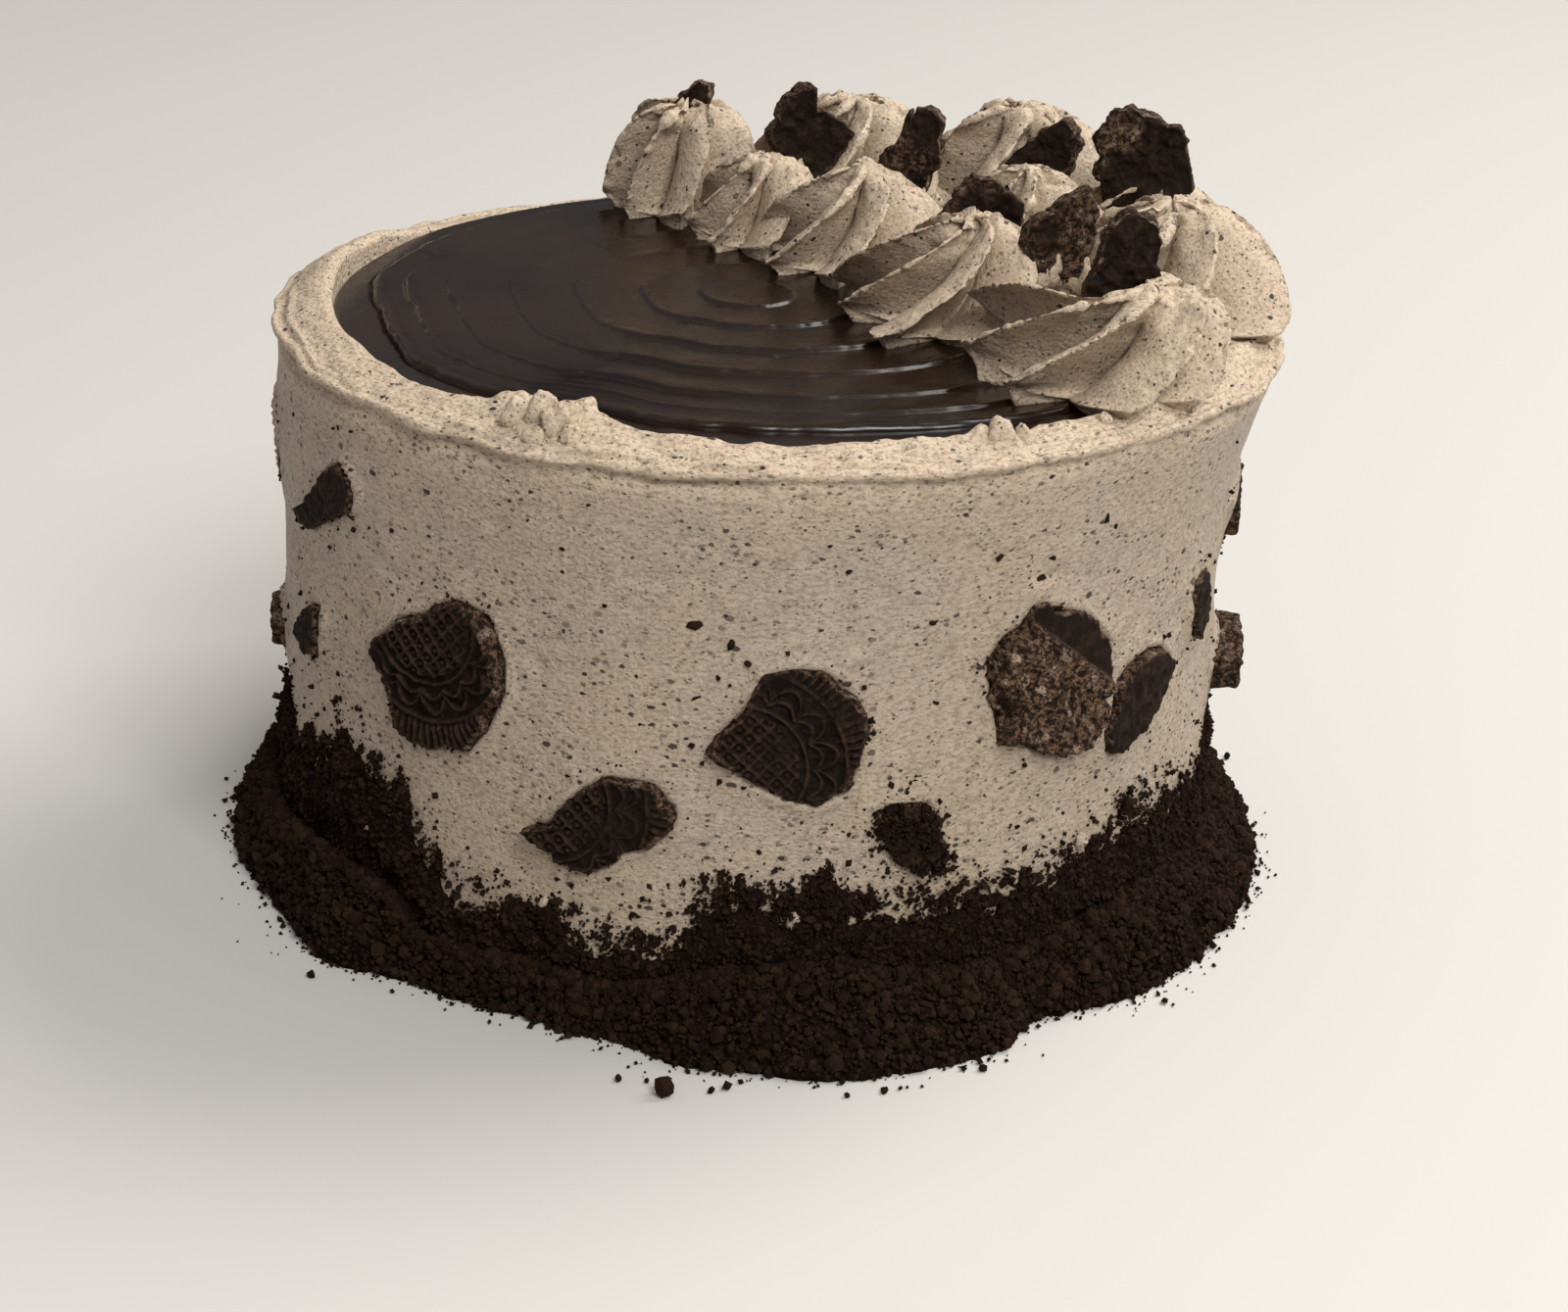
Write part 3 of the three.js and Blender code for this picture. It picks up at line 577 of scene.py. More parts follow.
def cookie_matrix(place, facing, lean, tip):
    turn = Matrix.Rotation(math.radians(facing + 90), 4, "Z")
    stand = Matrix.Rotation(math.radians(90 - tip), 4, "X")
    return Matrix.Translation(place) @ turn @ stand @ Matrix.Rotation(math.radians(lean), 4, "Z")


def make_cookie(name, spot, seed, matrix, material):
    grid, broken, raised = cookie_grid(spot, seed)
    points, faces = closed_skin(grid)
    turn = np.array(matrix)
    points = points @ turn[:3, :3].T + turn[:3, 3]
    piece = make_piece(name.replace("cookie", "broken_cookie"), points, faces, [name], material)
    mark(piece, "broken", np.append(broken.ravel(), [0, broken[-1].mean()]))
    # raised carries the painted highlight on the raised lines and grain tops
    mark(piece, "raised", np.append(raised.ravel(), [0, raised[-1].mean()]))


def make_side_cookies(material):
    for index, spot in enumerate(SIDE_COOKIES):
        out = WALL_RADIUS + spot["proud"] - COOKIE_THICKNESS / 2
        place = Vector(polar(spot["azimuth"], out, spot["z"]))
        matrix = cookie_matrix(place, spot["azimuth"], spot.get("lean", 0), 0)
        make_cookie(f"side_cookie_{index + 1}", spot, SIDE_COOKIE_SEED + index, matrix, material)


def make_crown_cookies(material):
    for index, spot in enumerate(CROWN_COOKIES):
        place = Vector((spot["x"], spot["y"], spot["z"]))
        matrix = cookie_matrix(place, spot["facing"], 0, spot["tip"])
        make_cookie(f"crown_cookie_{index + 1}", spot, CROWN_COOKIE_SEED + index, matrix, material)


# ---- Buttercream coat ------------------------------------------------------------------------------


def collar_relief(azimuth, height):
    """Buttercream pushed up round each side cookie, and drawn in under it."""
    relief = np.zeros(np.broadcast(azimuth, height).shape)
    for index, spot in enumerate(SIDE_COOKIES):
        turn = (azimuth - spot["azimuth"] + 180) % 360 - 180
        x, y = np.radians(turn) * WALL_RADIUS, height - spot["z"]
        lean = math.radians(spot.get("lean", 0))
        across = x * math.cos(lean) + y * math.sin(lean)
        upward = y * math.cos(lean) - x * math.sin(lean)
        angle = np.arctan2(upward, across)
        away = np.hypot(across, upward) - cookie_reach(spot, SIDE_COOKIE_SEED + index, angle)
        size = 0.9 + 0.5 * np.sin(2 * angle + index)
        pushed = size * np.exp(-(((away - 0.6) / 0.75) ** 2)) + 0.35 * np.exp(-(((away - 2.4) / 2) ** 2))
        sunk = -1.4 * np.clip((-0.5 - away) / 0.8, 0, 1)
        relief += np.where(away < 9, pushed + sunk, 0)
    return relief


# Smears, pits and scraped lines in the wall: azimuth, height, length, width, tilt from level, depth
WALL_MARKS = [
    (-84.5, 87.4, 3, 1.3, 6, -0.9),
    (-113.3, 58.0, 4, 1.8, -40, -0.7),
    (-111.5, 61.5, 5, 1.4, 12, -0.4),
    (-118.0, 78.5, 4, 1.6, 20, -0.6),
    (-101.5, 63.0, 2.4, 1.2, 35, -0.8),
    (-100.5, 53.8, 3, 1.0, 10, 0.5),
    (-66.5, 84.0, 3.2, 1.2, -14, -0.6),
    (-40.5, 60.5, 13, 1.0, 52, 0.55),
    (-39.0, 59.0, 13, 1.2, 52, -0.45),
    (-47.5, 31.0, 1.0, 7, 0, -0.35),
    (-56.5, 69.8, 4.5, 2.2, 24, 1.0),
    (-54.5, 71.5, 5.5, 1.6, 8, -0.8),
    (-77.5, 62.2, 5.5, 1.6, 14, 0.7),
    (-92.5, 64.0, 3, 1.2, -30, -0.5),
    (-135, 66, 9, 2.4, -25, -0.5),
    (-70, 47, 9, 1.4, 3, -0.25),
    (-98, 74, 12, 1.6, 2, -0.25),
    (-120, 36, 9, 1.5, -4, 0.25),
    (150, 66, 12, 1.6, 20, -0.5),
    (60, 40, 12, 1.3, -12, -0.4),
    (95, 76, 14, 1.8, 4, -0.4),
    (15, 44, 8, 1.4, 30, 0.5),
    (-170, 55, 8, 1.6, -15, -0.4),
]


def mark_relief(azimuth, height):
    relief = np.zeros(np.broadcast(azimuth, height).shape)
    for at, level, length, width, tilt, depth in WALL_MARKS:
        turn = (azimuth - at + 180) % 360 - 180
        x, y = np.radians(turn) * WALL_RADIUS, height - level
        tilt = math.radians(tilt)
        lengthwise = (x * math.cos(tilt) + y * math.sin(tilt)) / (length / 2)
        sideways = (y * math.cos(tilt) - x * math.sin(tilt)) / (width / 2)
        relief += depth * np.exp(-(lengthwise**4) - sideways**2)
    return relief


def lip_edge(azimuth):
    """The lip before it is craggy, its craggy radius and height, and how far it hangs over the wall."""
    top = LIP_HEIGHT - 0.55 * back_drop(azimuth)
    radius = wall_radius(azimuth, LIP_HEIGHT) + 0.5 * ripple(azimuth * 2, 6)
    edge = polar(azimuth, radius, top)
    radius = radius + 0.55 * crags(edge, 9, 61)
    top = top + 0.7 * crags(edge, 12, 64)
    overhang = 0.95 * np.clip(0.75 + 0.6 * lumps(edge, 16, 69), 0.15, 1.2)
    return edge, radius, top, overhang


# Heights of the rows that shape the wall, and the mesh's steps between each two rows of the whole coat
WALL_ROWS = (12, 24, 36, 44, 51, 58, 63, 68, 72, 76, 79.5, 82.5, 85.5)
COAT_STEPS = [1, 2, 10, 12, 12, 9, 8, 8, 6, 6, 5, 5, 5, 4, 5, 5, 5, 3, 2, 2, 2, 5, 6, 5, 5, 3, 3, 3, 1]
COAT_SIDES = 600


def coat_rows(azimuth, lip, lip_top, overhang, crest):
    """Radius and height of the coat's rows, from under its foot to the recess under the ganache."""
    inner, drop = recess_radius(azimuth), back_drop(azimuth)
    floor = GANACHE_LEVEL - GANACHE_DEPTH
    flat = np.ones(len(azimuth))

    def slope(share, fall):
        return (inner + share * (lip - inner), crest - fall * (crest - lip_top))

    controls = [
        (WALL_RADIUS - FOOT_EDGE - 6, 0 * flat),
        (WALL_RADIUS - FOOT_EDGE, 0 * flat),
        (WALL_RADIUS * flat, FOOT_EDGE * 1.6 * flat),
    ]
    for height in WALL_ROWS:
        controls.append((wall_radius(azimuth, height), height * flat))
    controls += [
        (wall_radius(azimuth, 88) - 0.1, 87.6 - 0.3 * drop),
        (lip - overhang - 0.1, lip_top - 1.5),
        (lip - 0.8 * overhang, lip_top - 0.75),
        (lip - 0.05, lip_top - 0.42),
        (lip + 0.12, lip_top),
        (lip - 0.35, lip_top + 0.22),
        slope(0.84, 0.78),
        slope(0.6, 0.42),
        slope(0.36, 0.12),
        slope(0.14, 0.0),
        slope(0.03, 0.18),
        (inner - 0.05, crest - 1.1),
        (inner - 0.4, floor * flat),
        (inner - 4, floor * flat),
    ]
    controls = np.array([np.stack(np.broadcast_arrays(*row), -1) for row in controls])
    rows = smooth_rows(controls, COAT_STEPS)
    return rows[..., 0], rows[..., 1]


def rim_relief(azimuth, radius, grid, edge, lip, lip_top):
    """Curdled streaks along the rim, its two raised lines, and the knob and the nub pushed up on it."""
    height, beyond = grid[..., 2], radius - recess_radius(azimuth)
    on_rim = np.clip((height - lip_top + 1.2) / 1.2, 0, 1) * np.clip(beyond + 0.4, 0, 1)
    calm = 1 - 0.8 * swelling(azimuth, 160, 70)
    swept = polar(azimuth * 0.4, radius, height)
    drawn_along = polar(azimuth * 0.2, radius, height)
    curdled = 0.5 * (0.3 - np.abs(lumps(swept, 3.2, 71))) + 0.24 * crags(grid, 2.0, 75)
    curdled = curdled + 0.6 * (0.28 - np.abs(crags(drawn_along, 2.1, 73, 2)))
    curdled = curdled + 0.55 * np.clip(2 * lumps(swept, 2.6, 78) - 0.5, 0, 1)
    lip_line = line_ridge(radius - lip, 0.5) * (height > lip_top - 1)
    second_line = line_ridge(radius - lip + 1.9 + 0.5 * ripple(azimuth, 9), 0.45)
    second_line = second_line * on_rim * np.clip(0.5 + 1.5 * lumps(edge, 18, 80), 0, 1)
    blob = swelling(azimuth, BLOB_AZIMUTH, 7) * np.clip(1 - np.abs(beyond - 1) / 4, 0, 1)
    blob = blob * (0.5 + 1.3 * crags(grid, 3.2, 79, 2))
    nub = swelling(azimuth, NUB_AZIMUTH, 3.2) * np.clip(1 - np.abs(beyond - 0.8) / 2.4, 0, 1)
    nub = nub * (0.8 + 1.2 * crags(grid, 3, 77, 2))
    return 0.35 * lip_line + 0.55 * second_line + on_rim * (calm * curdled + 1.7 * blob + 1.9 * nub)


def wall_relief(azimuth, radius, grid):
    """Gentle swells of the scraped wall, its marks, and the collars round its cookies."""
    height = grid[..., 2]
    drawn_along = polar(azimuth * 0.2, radius, height)
    swells = 0.24 * lumps(grid, 26, 81) + 0.12 * lumps(drawn_along, 5, 83)
    on_wall = np.clip((86 - height) / 3, 0, 1) * np.clip(height / 4, 0, 1)
    return on_wall * (swells + collar_relief(azimuth, height)) + mark_relief(azimuth, height)


def make_coat(material):
    """The coat of buttercream: scraped wall, craggy lip, and the recess under the ganache."""
    azimuth = np.linspace(0, 360, COAT_SIDES, endpoint=False)
    edge, lip, lip_top, overhang = lip_edge(azimuth)
    crest = rim_crest(azimuth) + 0.35 * crags(edge, 7, 67)
    radius, height = coat_rows(azimuth, lip, lip_top, overhang, crest)
    grid = polar(azimuth, radius, height)
    relief = rim_relief(azimuth, radius, grid, edge, lip, lip_top) + wall_relief(azimuth, radius, grid)
    grid = grid + normals_of(grid) * relief[..., None]
    points, faces = closed_skin(grid)
    make_piece("buttercream_coat", points, faces, ["cake"], material)


# ---- Ganache ---------------------------------------------------------------------------------------

GANACHE_SIDES = 330
CRUMPLE_AZIMUTH = -135
# Two small marks in the disc, by their distance from its middle along X and Y
PINHOLE = (3.8, -26.5)
DENT = (-54, 24)


def torn_step(azimuth, edge):
    """Where the disc ends above its lower outer band, and how deep and how crumpled that step is."""
    rim_line = polar(azimuth, edge, 0)
    crack = np.clip(swelling(azimuth, -112, 62) * 1.6, 0.12, 1)
    crumple = swelling(azimuth, CRUMPLE_AZIMUTH, 34)
    torn = 0.7 * crags(rim_line, 6, 91) + 0.4 * crags(rim_line, 1.8, 95)
    wider = EDGE_BAND_FRONT * (swelling(azimuth, -88, 40) + 0.6 * swelling(azimuth, -166, 14))
    step_at = edge - EDGE_BAND - wider + torn * (0.35 + 0.65 * crumple)
    return step_at, crack, crumple


def ganache_rows(edge, step_at, crack):
    """(radius, height) of each row: up the disc's side, over its outer band and step, and to its middle."""
    bottom = GANACHE_LEVEL - GANACHE_DEPTH
    rows = [(edge - 8, bottom), (edge - 0.7, bottom), (edge, bottom + 0.7)]
    rows += [(edge + 0.1, GANACHE_LEVEL - 1.9), (edge - 0.2, GANACHE_LEVEL - 1.3)]
    for share in np.linspace(0, 1, 12):
        fall = (0.95 - 0.3 * share) * (0.45 + 0.75 * crack)
        rows.append((edge - 0.6 - share * (edge - 1.0 - step_at), GANACHE_LEVEL - fall))
    for out, fall, deeper in ((0.45, 0.2, 1.5), (0.1, 0.15, 1.6), (-0.05, 0.05, 0.5)):
        rows.append((step_at + out, GANACHE_LEVEL - fall - deeper * crack))
    for share in np.concatenate([np.linspace(0.998, 0.97, 6), np.linspace(0.965, 0.006, 250)]):
        rows.append((share * (step_at - 0.25), GANACHE_LEVEL))
    return rows


def ring_relief(azimuth, grid, inside):
    """The spatula's terraces, each rising to a thin crest, and how far along its terrace each point is."""
    away = inside * RING_RADII[-2] + 0.55 * lumps(grid, 20, 101)
    ring = np.searchsorted(RING_RADII, away.ravel()).reshape(away.shape)
    ring = np.clip(ring, 1, len(RING_RADII) - 1)
    step = RING_RADII[ring] - RING_RADII[ring - 1]
    share = np.clip((away - RING_RADII[ring - 1]) / step, 0, 1)
    fall = np.clip((1 - share) * step / 0.7, 0, 1)
    strength = np.clip(0.85 + 0.7 * lumps(grid + 9.0 * ring[..., None], 34, 103), 0.5, 1.3)
    strength = strength * (1 + 0.9 * swelling(azimuth, 178, 60))
    terrace = RING_STEP * strength * (share**2.4 * fall - 0.25)
    tremor = 0.007 * np.sin(2 * math.pi * away / 3.4 + 2 * lumps(grid, 25, 108)) * strength
    return terrace + tremor, share


def make_ganache(material):
    """The poured disc: overlapping spatula rings, and a lower band outside a torn step."""
    azimuth = np.linspace(0, 360, GANACHE_SIDES, endpoint=False)
    edge = recess_radius(azimuth) + 0.1
    step_at, crack, crumple = torn_step(azimuth, edge)
    grid, inside = [], []
    for radius, height in ganache_rows(edge, step_at, crack):
        share = np.clip(radius / (step_at - 0.25), 0, 1)
        row = polar(azimuth, radius, height)
        row[:, :2] += (1 - share)[:, None] * RING_CENTRE
        grid.append(row)
        inside.append(share * (height >= GANACHE_LEVEL - 0.01))
    grid, inside = np.array(grid), np.array(inside)
    on_top = inside > 0
    rings, share = ring_relief(azimuth, grid, inside)
    swell = 0.12 * lumps(grid, 30, 105)
    inner_edge = np.clip((1 - inside) / 0.03, 0, 1)
    wrinkles = (0.3 + 0.7 * crumple) * np.clip(crags(grid, 2.2, 110), -0.4, 1)
    crumpled = (1 - inner_edge) * crack * (0.25 + 0.8 * wrinkles)
    grid[..., 2] += np.where(on_top, rings * np.clip(inside * 12, 0, 1) * inner_edge + swell, 0)
    grid[..., 2] += np.where(on_top, crumpled + 0.07 * crags(grid, 1.4, 107, 2) * (share > 0.75), 0)
    pinhole = 0.5 * np.exp(-((grid[..., :2] - PINHOLE) ** 2).sum(-1) / 0.8)
    dent = 1.1 * np.exp(-((grid[..., :2] - DENT) ** 2).sum(-1) / 10) * (0.5 + 0.7 * crags(grid, 3, 111))
    grid[..., 2] -= np.where(on_top, pinhole + dent, 0)
    points, faces = closed_skin(grid)
    make_piece("ganache_disc", points, faces, ["ganache"], material)


# ---- Piped swirls ----------------------------------------------------------------------------------


def petal_shares(steps):
    """Where the points of one petal lie between its crest and the next, closer together at the crests."""
    even = np.arange(steps) / steps
    return 0.35 * even + 0.65 * (0.5 - 0.5 * np.cos(math.pi * even))


def petal_hollow(share):
    """0 on a petal's crest and 1 in the valley after it: a steep face, then a long gentle back."""
    face = 1 - (1 - np.clip(share / PETAL_FACE, 0, 1)) ** 1.8
    back = np.clip((1 - share) / (1 - PETAL_FACE), 0, 1) ** 1.15
    return np.where(share < PETAL_FACE, face, back)


def swirl_crests(spec, seed):
    """Azimuth, reach and rise of each petal."""
    draw = seeded_random(seed)
    even = []
    for petal in range(PETALS):
        azimuth = spec.get("turn", 0) + 360 / PETALS * (petal + 0.36 * (next(draw) - 0.5))
        even.append((azimuth, 0.86 + 0.24 * next(draw), 0.86 + 0.2 * next(draw)))
    return np.array(spec.get("crests") or even, float)


def dent_depth(dent, points):
    """How far the buttercream is pushed down beside a cookie."""
    away = np.hypot(points[..., 0] - dent["x"], points[..., 1] - dent["y"])
    return dent["depth"] * np.exp(-((away / dent["reach"]) ** 2))


EVEN_LIFTS = [1.6, 2.6, 1.2, 2.2, 1.8, 2.8, 1.4]
PETAL_STEPS = 46
SWIRL_ROWS = 88
# How deep the valleys are cut at shares of the climb
VALLEY_CLIMB = [0, 0.1, 0.3, 0.55, 0.8, 1]
VALLEY_DEPTH = [0.46, 0.64, 0.76, 0.76, 0.64, 0.4]
DEEPEST_VALLEY = 0.88


def swirl_rows(spec, seed):
    """Angle, radius and height of each point up a swirl, each column's hollow and each row's rise."""
    crests = swirl_crests(spec, seed)
    lifts = np.array(spec.get("lifts", EVEN_LIFTS), float)
    hollows = np.array(spec.get("hollows", [1] * PETALS), float)
    steps = round(PETAL_STEPS * spec["detail"])
    share = np.tile(petal_shares(steps), PETALS)
    petal = np.repeat(np.arange(PETALS), steps)
    after = (petal + 1) % PETALS
    ease = share * share * (3 - 2 * share)
    between = crests[petal] * (1 - ease)[:, None] + crests[after] * ease[:, None]
    reach, rise = between[:, 1], between[:, 2]
    hollow = petal_hollow(share)
    lift = (lifts[petal] * (1 - ease) + lifts[after] * ease) * (1 - hollow) ** 1.3

    climb = np.linspace(0.0, 0.995, round(SWIRL_ROWS * spec["detail"]))[:, None] ** 0.95
    out = np.cos(climb * math.pi / 2) ** (2 / spec["fullness"])
    dome = np.sin(climb * math.pi / 2) ** (2 / 1.35)
    depth = np.interp(climb, VALLEY_CLIMB, VALLEY_DEPTH)
    depth = np.minimum(depth * hollows[petal], DEEPEST_VALLEY)
    radius = spec["width"] / 2 * out * reach * (1 - depth * hollow)
    uneven = (rise - 1) * (1 - dome**3) - 0.5 * depth * hollow * (1 - dome**4)
    height = spec["height"] * dome * (1 + uneven) + lift * (1 - dome) ** 1.5
    lean = PETAL_LEAN * (1 - hollow) ** 1.7 * np.interp(climb, [0, 0.15, 0.5, 1], [0.35, 0.95, 1, 0.6])
    spread = (crests[after, 0] - crests[petal, 0]) % 360
    angle = crests[petal, 0] + share * spread + lean * 360 / PETALS + SWIRL_TWIST * (1 - out) ** 0.9
    return angle, radius, height, hollow, dome


def swirl_foot(angle, radius, height):
    """Rows that close a swirl's underside and come out to its foot."""
    rows = [polar(angle, 0.45 * radius, -1.0)]
    for share in (0.0, 0.2, 0.4, 0.6, 0.8):
        under = 0.86 + 0.14 * share**2
        rows.append(polar(angle, under * radius, -1.0 + (height + 1.0) * share))
    return rows


def make_swirl(spec, seed, material):
    """An open-star swirl: thin torn petals that lean over their steep faces and wind up to the peak."""
    angle, radius, height, hollow, dome = swirl_rows(spec, seed)
    crown = polar(angle, radius, height)
    crown[..., :2] += np.array(spec.get("peak", (0, 0))) * (dome**1.2)[..., None]
    if "dent" in spec:
        crown[..., 2] -= dent_depth(spec["dent"], crown)
    foot = swirl_foot(angle[0], radius[0], height[0])
    grid = np.concatenate([foot, crown])
    place = grid + 40 * seed
    crest = np.clip(1 - hollow / 0.3, 0, 1)
    top = np.concatenate([np.zeros((len(foot), 1)), dome]) ** 5
    ragged = crest * (0.5 * crags(place, 3.0, seed, 2) + 0.3 * crags(place, 1.1, seed + 4, 2))
    torn = (0.18 + 1.5 * top) * crags(place, 4.2, seed + 7) * 0.75
    folded = 0.22 * lumps(place, 7, seed + 11)
    relief = ragged + torn + folded
    relief[:2] = 0
    grid = grid + normals_of(grid) * relief[..., None]
    grid = grid + np.array([spec["x"], spec["y"], SWIRL_FLOOR])
    points, faces = closed_skin(grid)
    name = spec["name"].replace("swirl", "piped_swirl")
    make_piece(name, points, faces, [spec["name"]], material)


# ---- Cookie crumbs ---------------------------------------------------------------------------------


def mound_height(azimuth):
    return 0.46 * along(CRUMB_LINE, azimuth)


def bank_surface(azimuth, share):
    """A point of the loose mound: share 0 is its foot, 0.78 its brow, and 1 the crease at the wall."""
    foot = along(CRUMB_FOOT, azimuth) - 0.4
    inner = WALL_RADIUS + 0.3
    brow = np.clip(share / 0.78, 0, 1)
    fold = np.clip((share - 0.78) / 0.22, 0, 1)
    crease = 0.1 + 3.0 * swelling(azimuth, -140, 26) + 0.6 * swelling(azimuth, -112, 14)
    brow_out = inner + 1.4 + 2.4 * swelling(azimuth, -140, 26)
    radius = foot + (brow_out - foot) * brow**0.8 - (brow_out - inner) * fold
    height = mound_height(azimuth) * np.sin(math.pi / 2 * brow) ** 0.9 - crease * fold
    return polar(azimuth, radius, np.maximum(height, 0))


DEEPEST_CLING = 2.2


def cling_top(azimuth):
    """Where the crumbs on the wall end: an uneven line with narrow spikes."""
    place = polar(azimuth, WALL_RADIUS, 0)
    spikes = 2.2 * crags(place, 9, 131) + 4.5 * np.clip(crags(place, 2.6, 134, 2), 0, 1) ** 1.4
    return along(CRUMB_LINE, azimuth) + spikes


def cling_depth(azimuth, height):
    """How thick the crumbs lie on the wall. Where it is below 0 the buttercream shows."""
    place = polar(azimuth, WALL_RADIUS, height)
    patchy = crags(place, 2.4, 137) + 0.7 * crags(place, 7, 141, 2)
    up = np.clip((height - cling_top(azimuth) + 9) / 9, 0, 1)
    return 1.2 + (0.9 + 1.1 * up) * patchy - 2.0 * up - 1.2 * np.exp((height - cling_top(azimuth)) / 2)


BANK_SIDES = 800
MOUND_ROWS = 26
CLING_ROWS = 44


def make_bank(material):
    """The body of the crumbs: a lumpy mound, and a patchy layer that climbs the wall."""
    azimuth = np.linspace(0, 360, BANK_SIDES, endpoint=False)
    inner = WALL_RADIUS - 0.6
    foot = along(CRUMB_FOOT, azimuth)
    mound = [bank_surface(azimuth, share) for share in np.linspace(0, 1, MOUND_ROWS)]
    crease = mound[-1][:, 2]
    top = np.maximum(cling_top(azimuth), crease + 1)
    cling = []
    for share in np.linspace(0.02, 1.15, CLING_ROWS):
        height = crease + share * (top - crease)
        depth = np.clip(cling_depth(azimuth, height), -0.5, DEEPEST_CLING)
        cling.append(polar(azimuth, wall_radius(azimuth, height) + depth, height))
    base = [polar(azimuth, inner, 0), polar(azimuth, (inner + foot) / 2, 0), polar(azimuth, foot - 1, 0)]
    grid = np.array(base + mound + cling + [polar(azimuth, inner, cling[-1][:, 2])])
    relief = crags(grid, 4.5, 121) + 0.7 * crags(grid, 1.9, 125, 2)
    relief[: len(base)] = 0
    relief[len(base + mound) :] = 0
    grid = grid + normals_of(grid) * relief[..., None]
    grid[..., 2] = np.maximum(grid[..., 2], 0)
    faces = grid_faces(len(grid), BANK_SIDES)
    last = (len(grid) - 1) * BANK_SIDES
    for side in range(BANK_SIDES):
        after = (side + 1) % BANK_SIDES
        faces.append([last + side, last + after, after, side])
    make_piece("crumb_bank_body", grid.reshape(-1, 3), faces, ["crumb_bank"], material)


# Forms of a crumb as corners and triangles: an even solid of 20 faces, and one of 8
GOLDEN = (1 + math.sqrt(5)) / 2
BIG_GRAIN = (
    np.array(
        [(-1, GOLDEN, 0), (1, GOLDEN, 0), (-1, -GOLDEN, 0), (1, -GOLDEN, 0)]
        + [(0, -1, GOLDEN), (0, 1, GOLDEN), (0, -1, -GOLDEN), (0, 1, -GOLDEN)]
        + [(GOLDEN, 0, -1), (GOLDEN, 0, 1), (-GOLDEN, 0, -1), (-GOLDEN, 0, 1)]
    )
    / math.hypot(1, GOLDEN),
    np.array(
        [(0, 11, 5), (0, 5, 1), (0, 1, 7), (0, 7, 10), (0, 10, 11), (1, 5, 9), (5, 11, 4), (11, 10, 2)]
        + [(10, 7, 6), (7, 1, 8), (3, 9, 4), (3, 4, 2), (3, 2, 6), (3, 6, 8), (3, 8, 9), (4, 9, 5)]
        + [(2, 4, 11), (6, 2, 10), (8, 6, 7), (9, 8, 1)]
    ),
)
SMALL_GRAIN = (
    np.array([(1, 0, 0), (0, 1, 0), (-1, 0, 0), (0, -1, 0), (0, 0, 1), (0, 0, -1)], float),
    np.array([(0, 1, 4), (1, 2, 4), (2, 3, 4), (3, 0, 4), (1, 0, 5), (2, 1, 5), (3, 2, 5), (0, 3, 5)]),
)


LOWEST_CORNER = 0.02


def random_turns(count, random):
    """Rotation matrices, evenly spread over all directions."""
    w, x, y, z = random.normal(size=(4, count)) + 1e-9
    long = np.sqrt(w * w + x * x + y * y + z * z)
    w, x, y, z = w / long, x / long, y / long, z / long
    rows = [
        [1 - 2 * (y * y + z * z), 2 * (x * y - w * z), 2 * (x * z + w * y)],
        [2 * (x * y + w * z), 1 - 2 * (x * x + z * z), 2 * (y * z - w * x)],
        [2 * (x * z - w * y), 2 * (y * z + w * x), 1 - 2 * (x * x + y * y)],
    ]
    return np.array(rows).transpose(2, 0, 1)


def join_grains(name, shapes, sides, random, material, smooth):
    """One mesh of many crumbs, each a row of corners, and each with a shade of its own."""
    count, each = shapes.shape[:2]
    faces = (sides[None] + each * np.arange(count)[:, None, None]).reshape(-1, 3).tolist()
    piece = make_piece(name, shapes.reshape(-1, 3), faces, [], material, smooth)
    mark(piece, "grain", np.repeat(random.random(count), each))


def make_grains(name, places, sizes, random, material, form=SMALL_GRAIN):
    """Many uneven crumbs that lie every way. sizes are their widths."""
    corners, sides = form
    count, each = len(places), len(corners)
    shapes = corners[None] * (1 + 0.5 * (random.random((count, each, 1)) - 0.5))
    shapes = shapes * random.uniform(0.62, 1.0, (count, 1, 3)) * (sizes / 2)[:, None, None]
    shapes = np.einsum("nij,nkj->nki", random_turns(count, random), shapes) + places[:, None]
    shapes[..., 2] = np.maximum(shapes[..., 2], LOWEST_CORNER)
    join_grains(name, shapes, sides, random, material, smooth=False)


def grain_sizes(count, random, smallest, middle, largest):
    return np.clip(smallest + random.exponential(middle - smallest, count), smallest, largest)


# Loose crumbs on the mound: form, how many, and their smallest, middle and largest size
BANK_GRAINS = {
    "bank_crumbs": (BIG_GRAIN, 7200, (1.0, 1.6, 3.0)),
    "bank_fine_crumbs": (SMALL_GRAIN, 20000, (0.7, 1.05, 1.7)),
}
FOOT_GRAINS = 1300
FOOT_GRAIN_SIZES = (0.4, 0.75, 2.4)
FARTHEST_CRUMB = 95


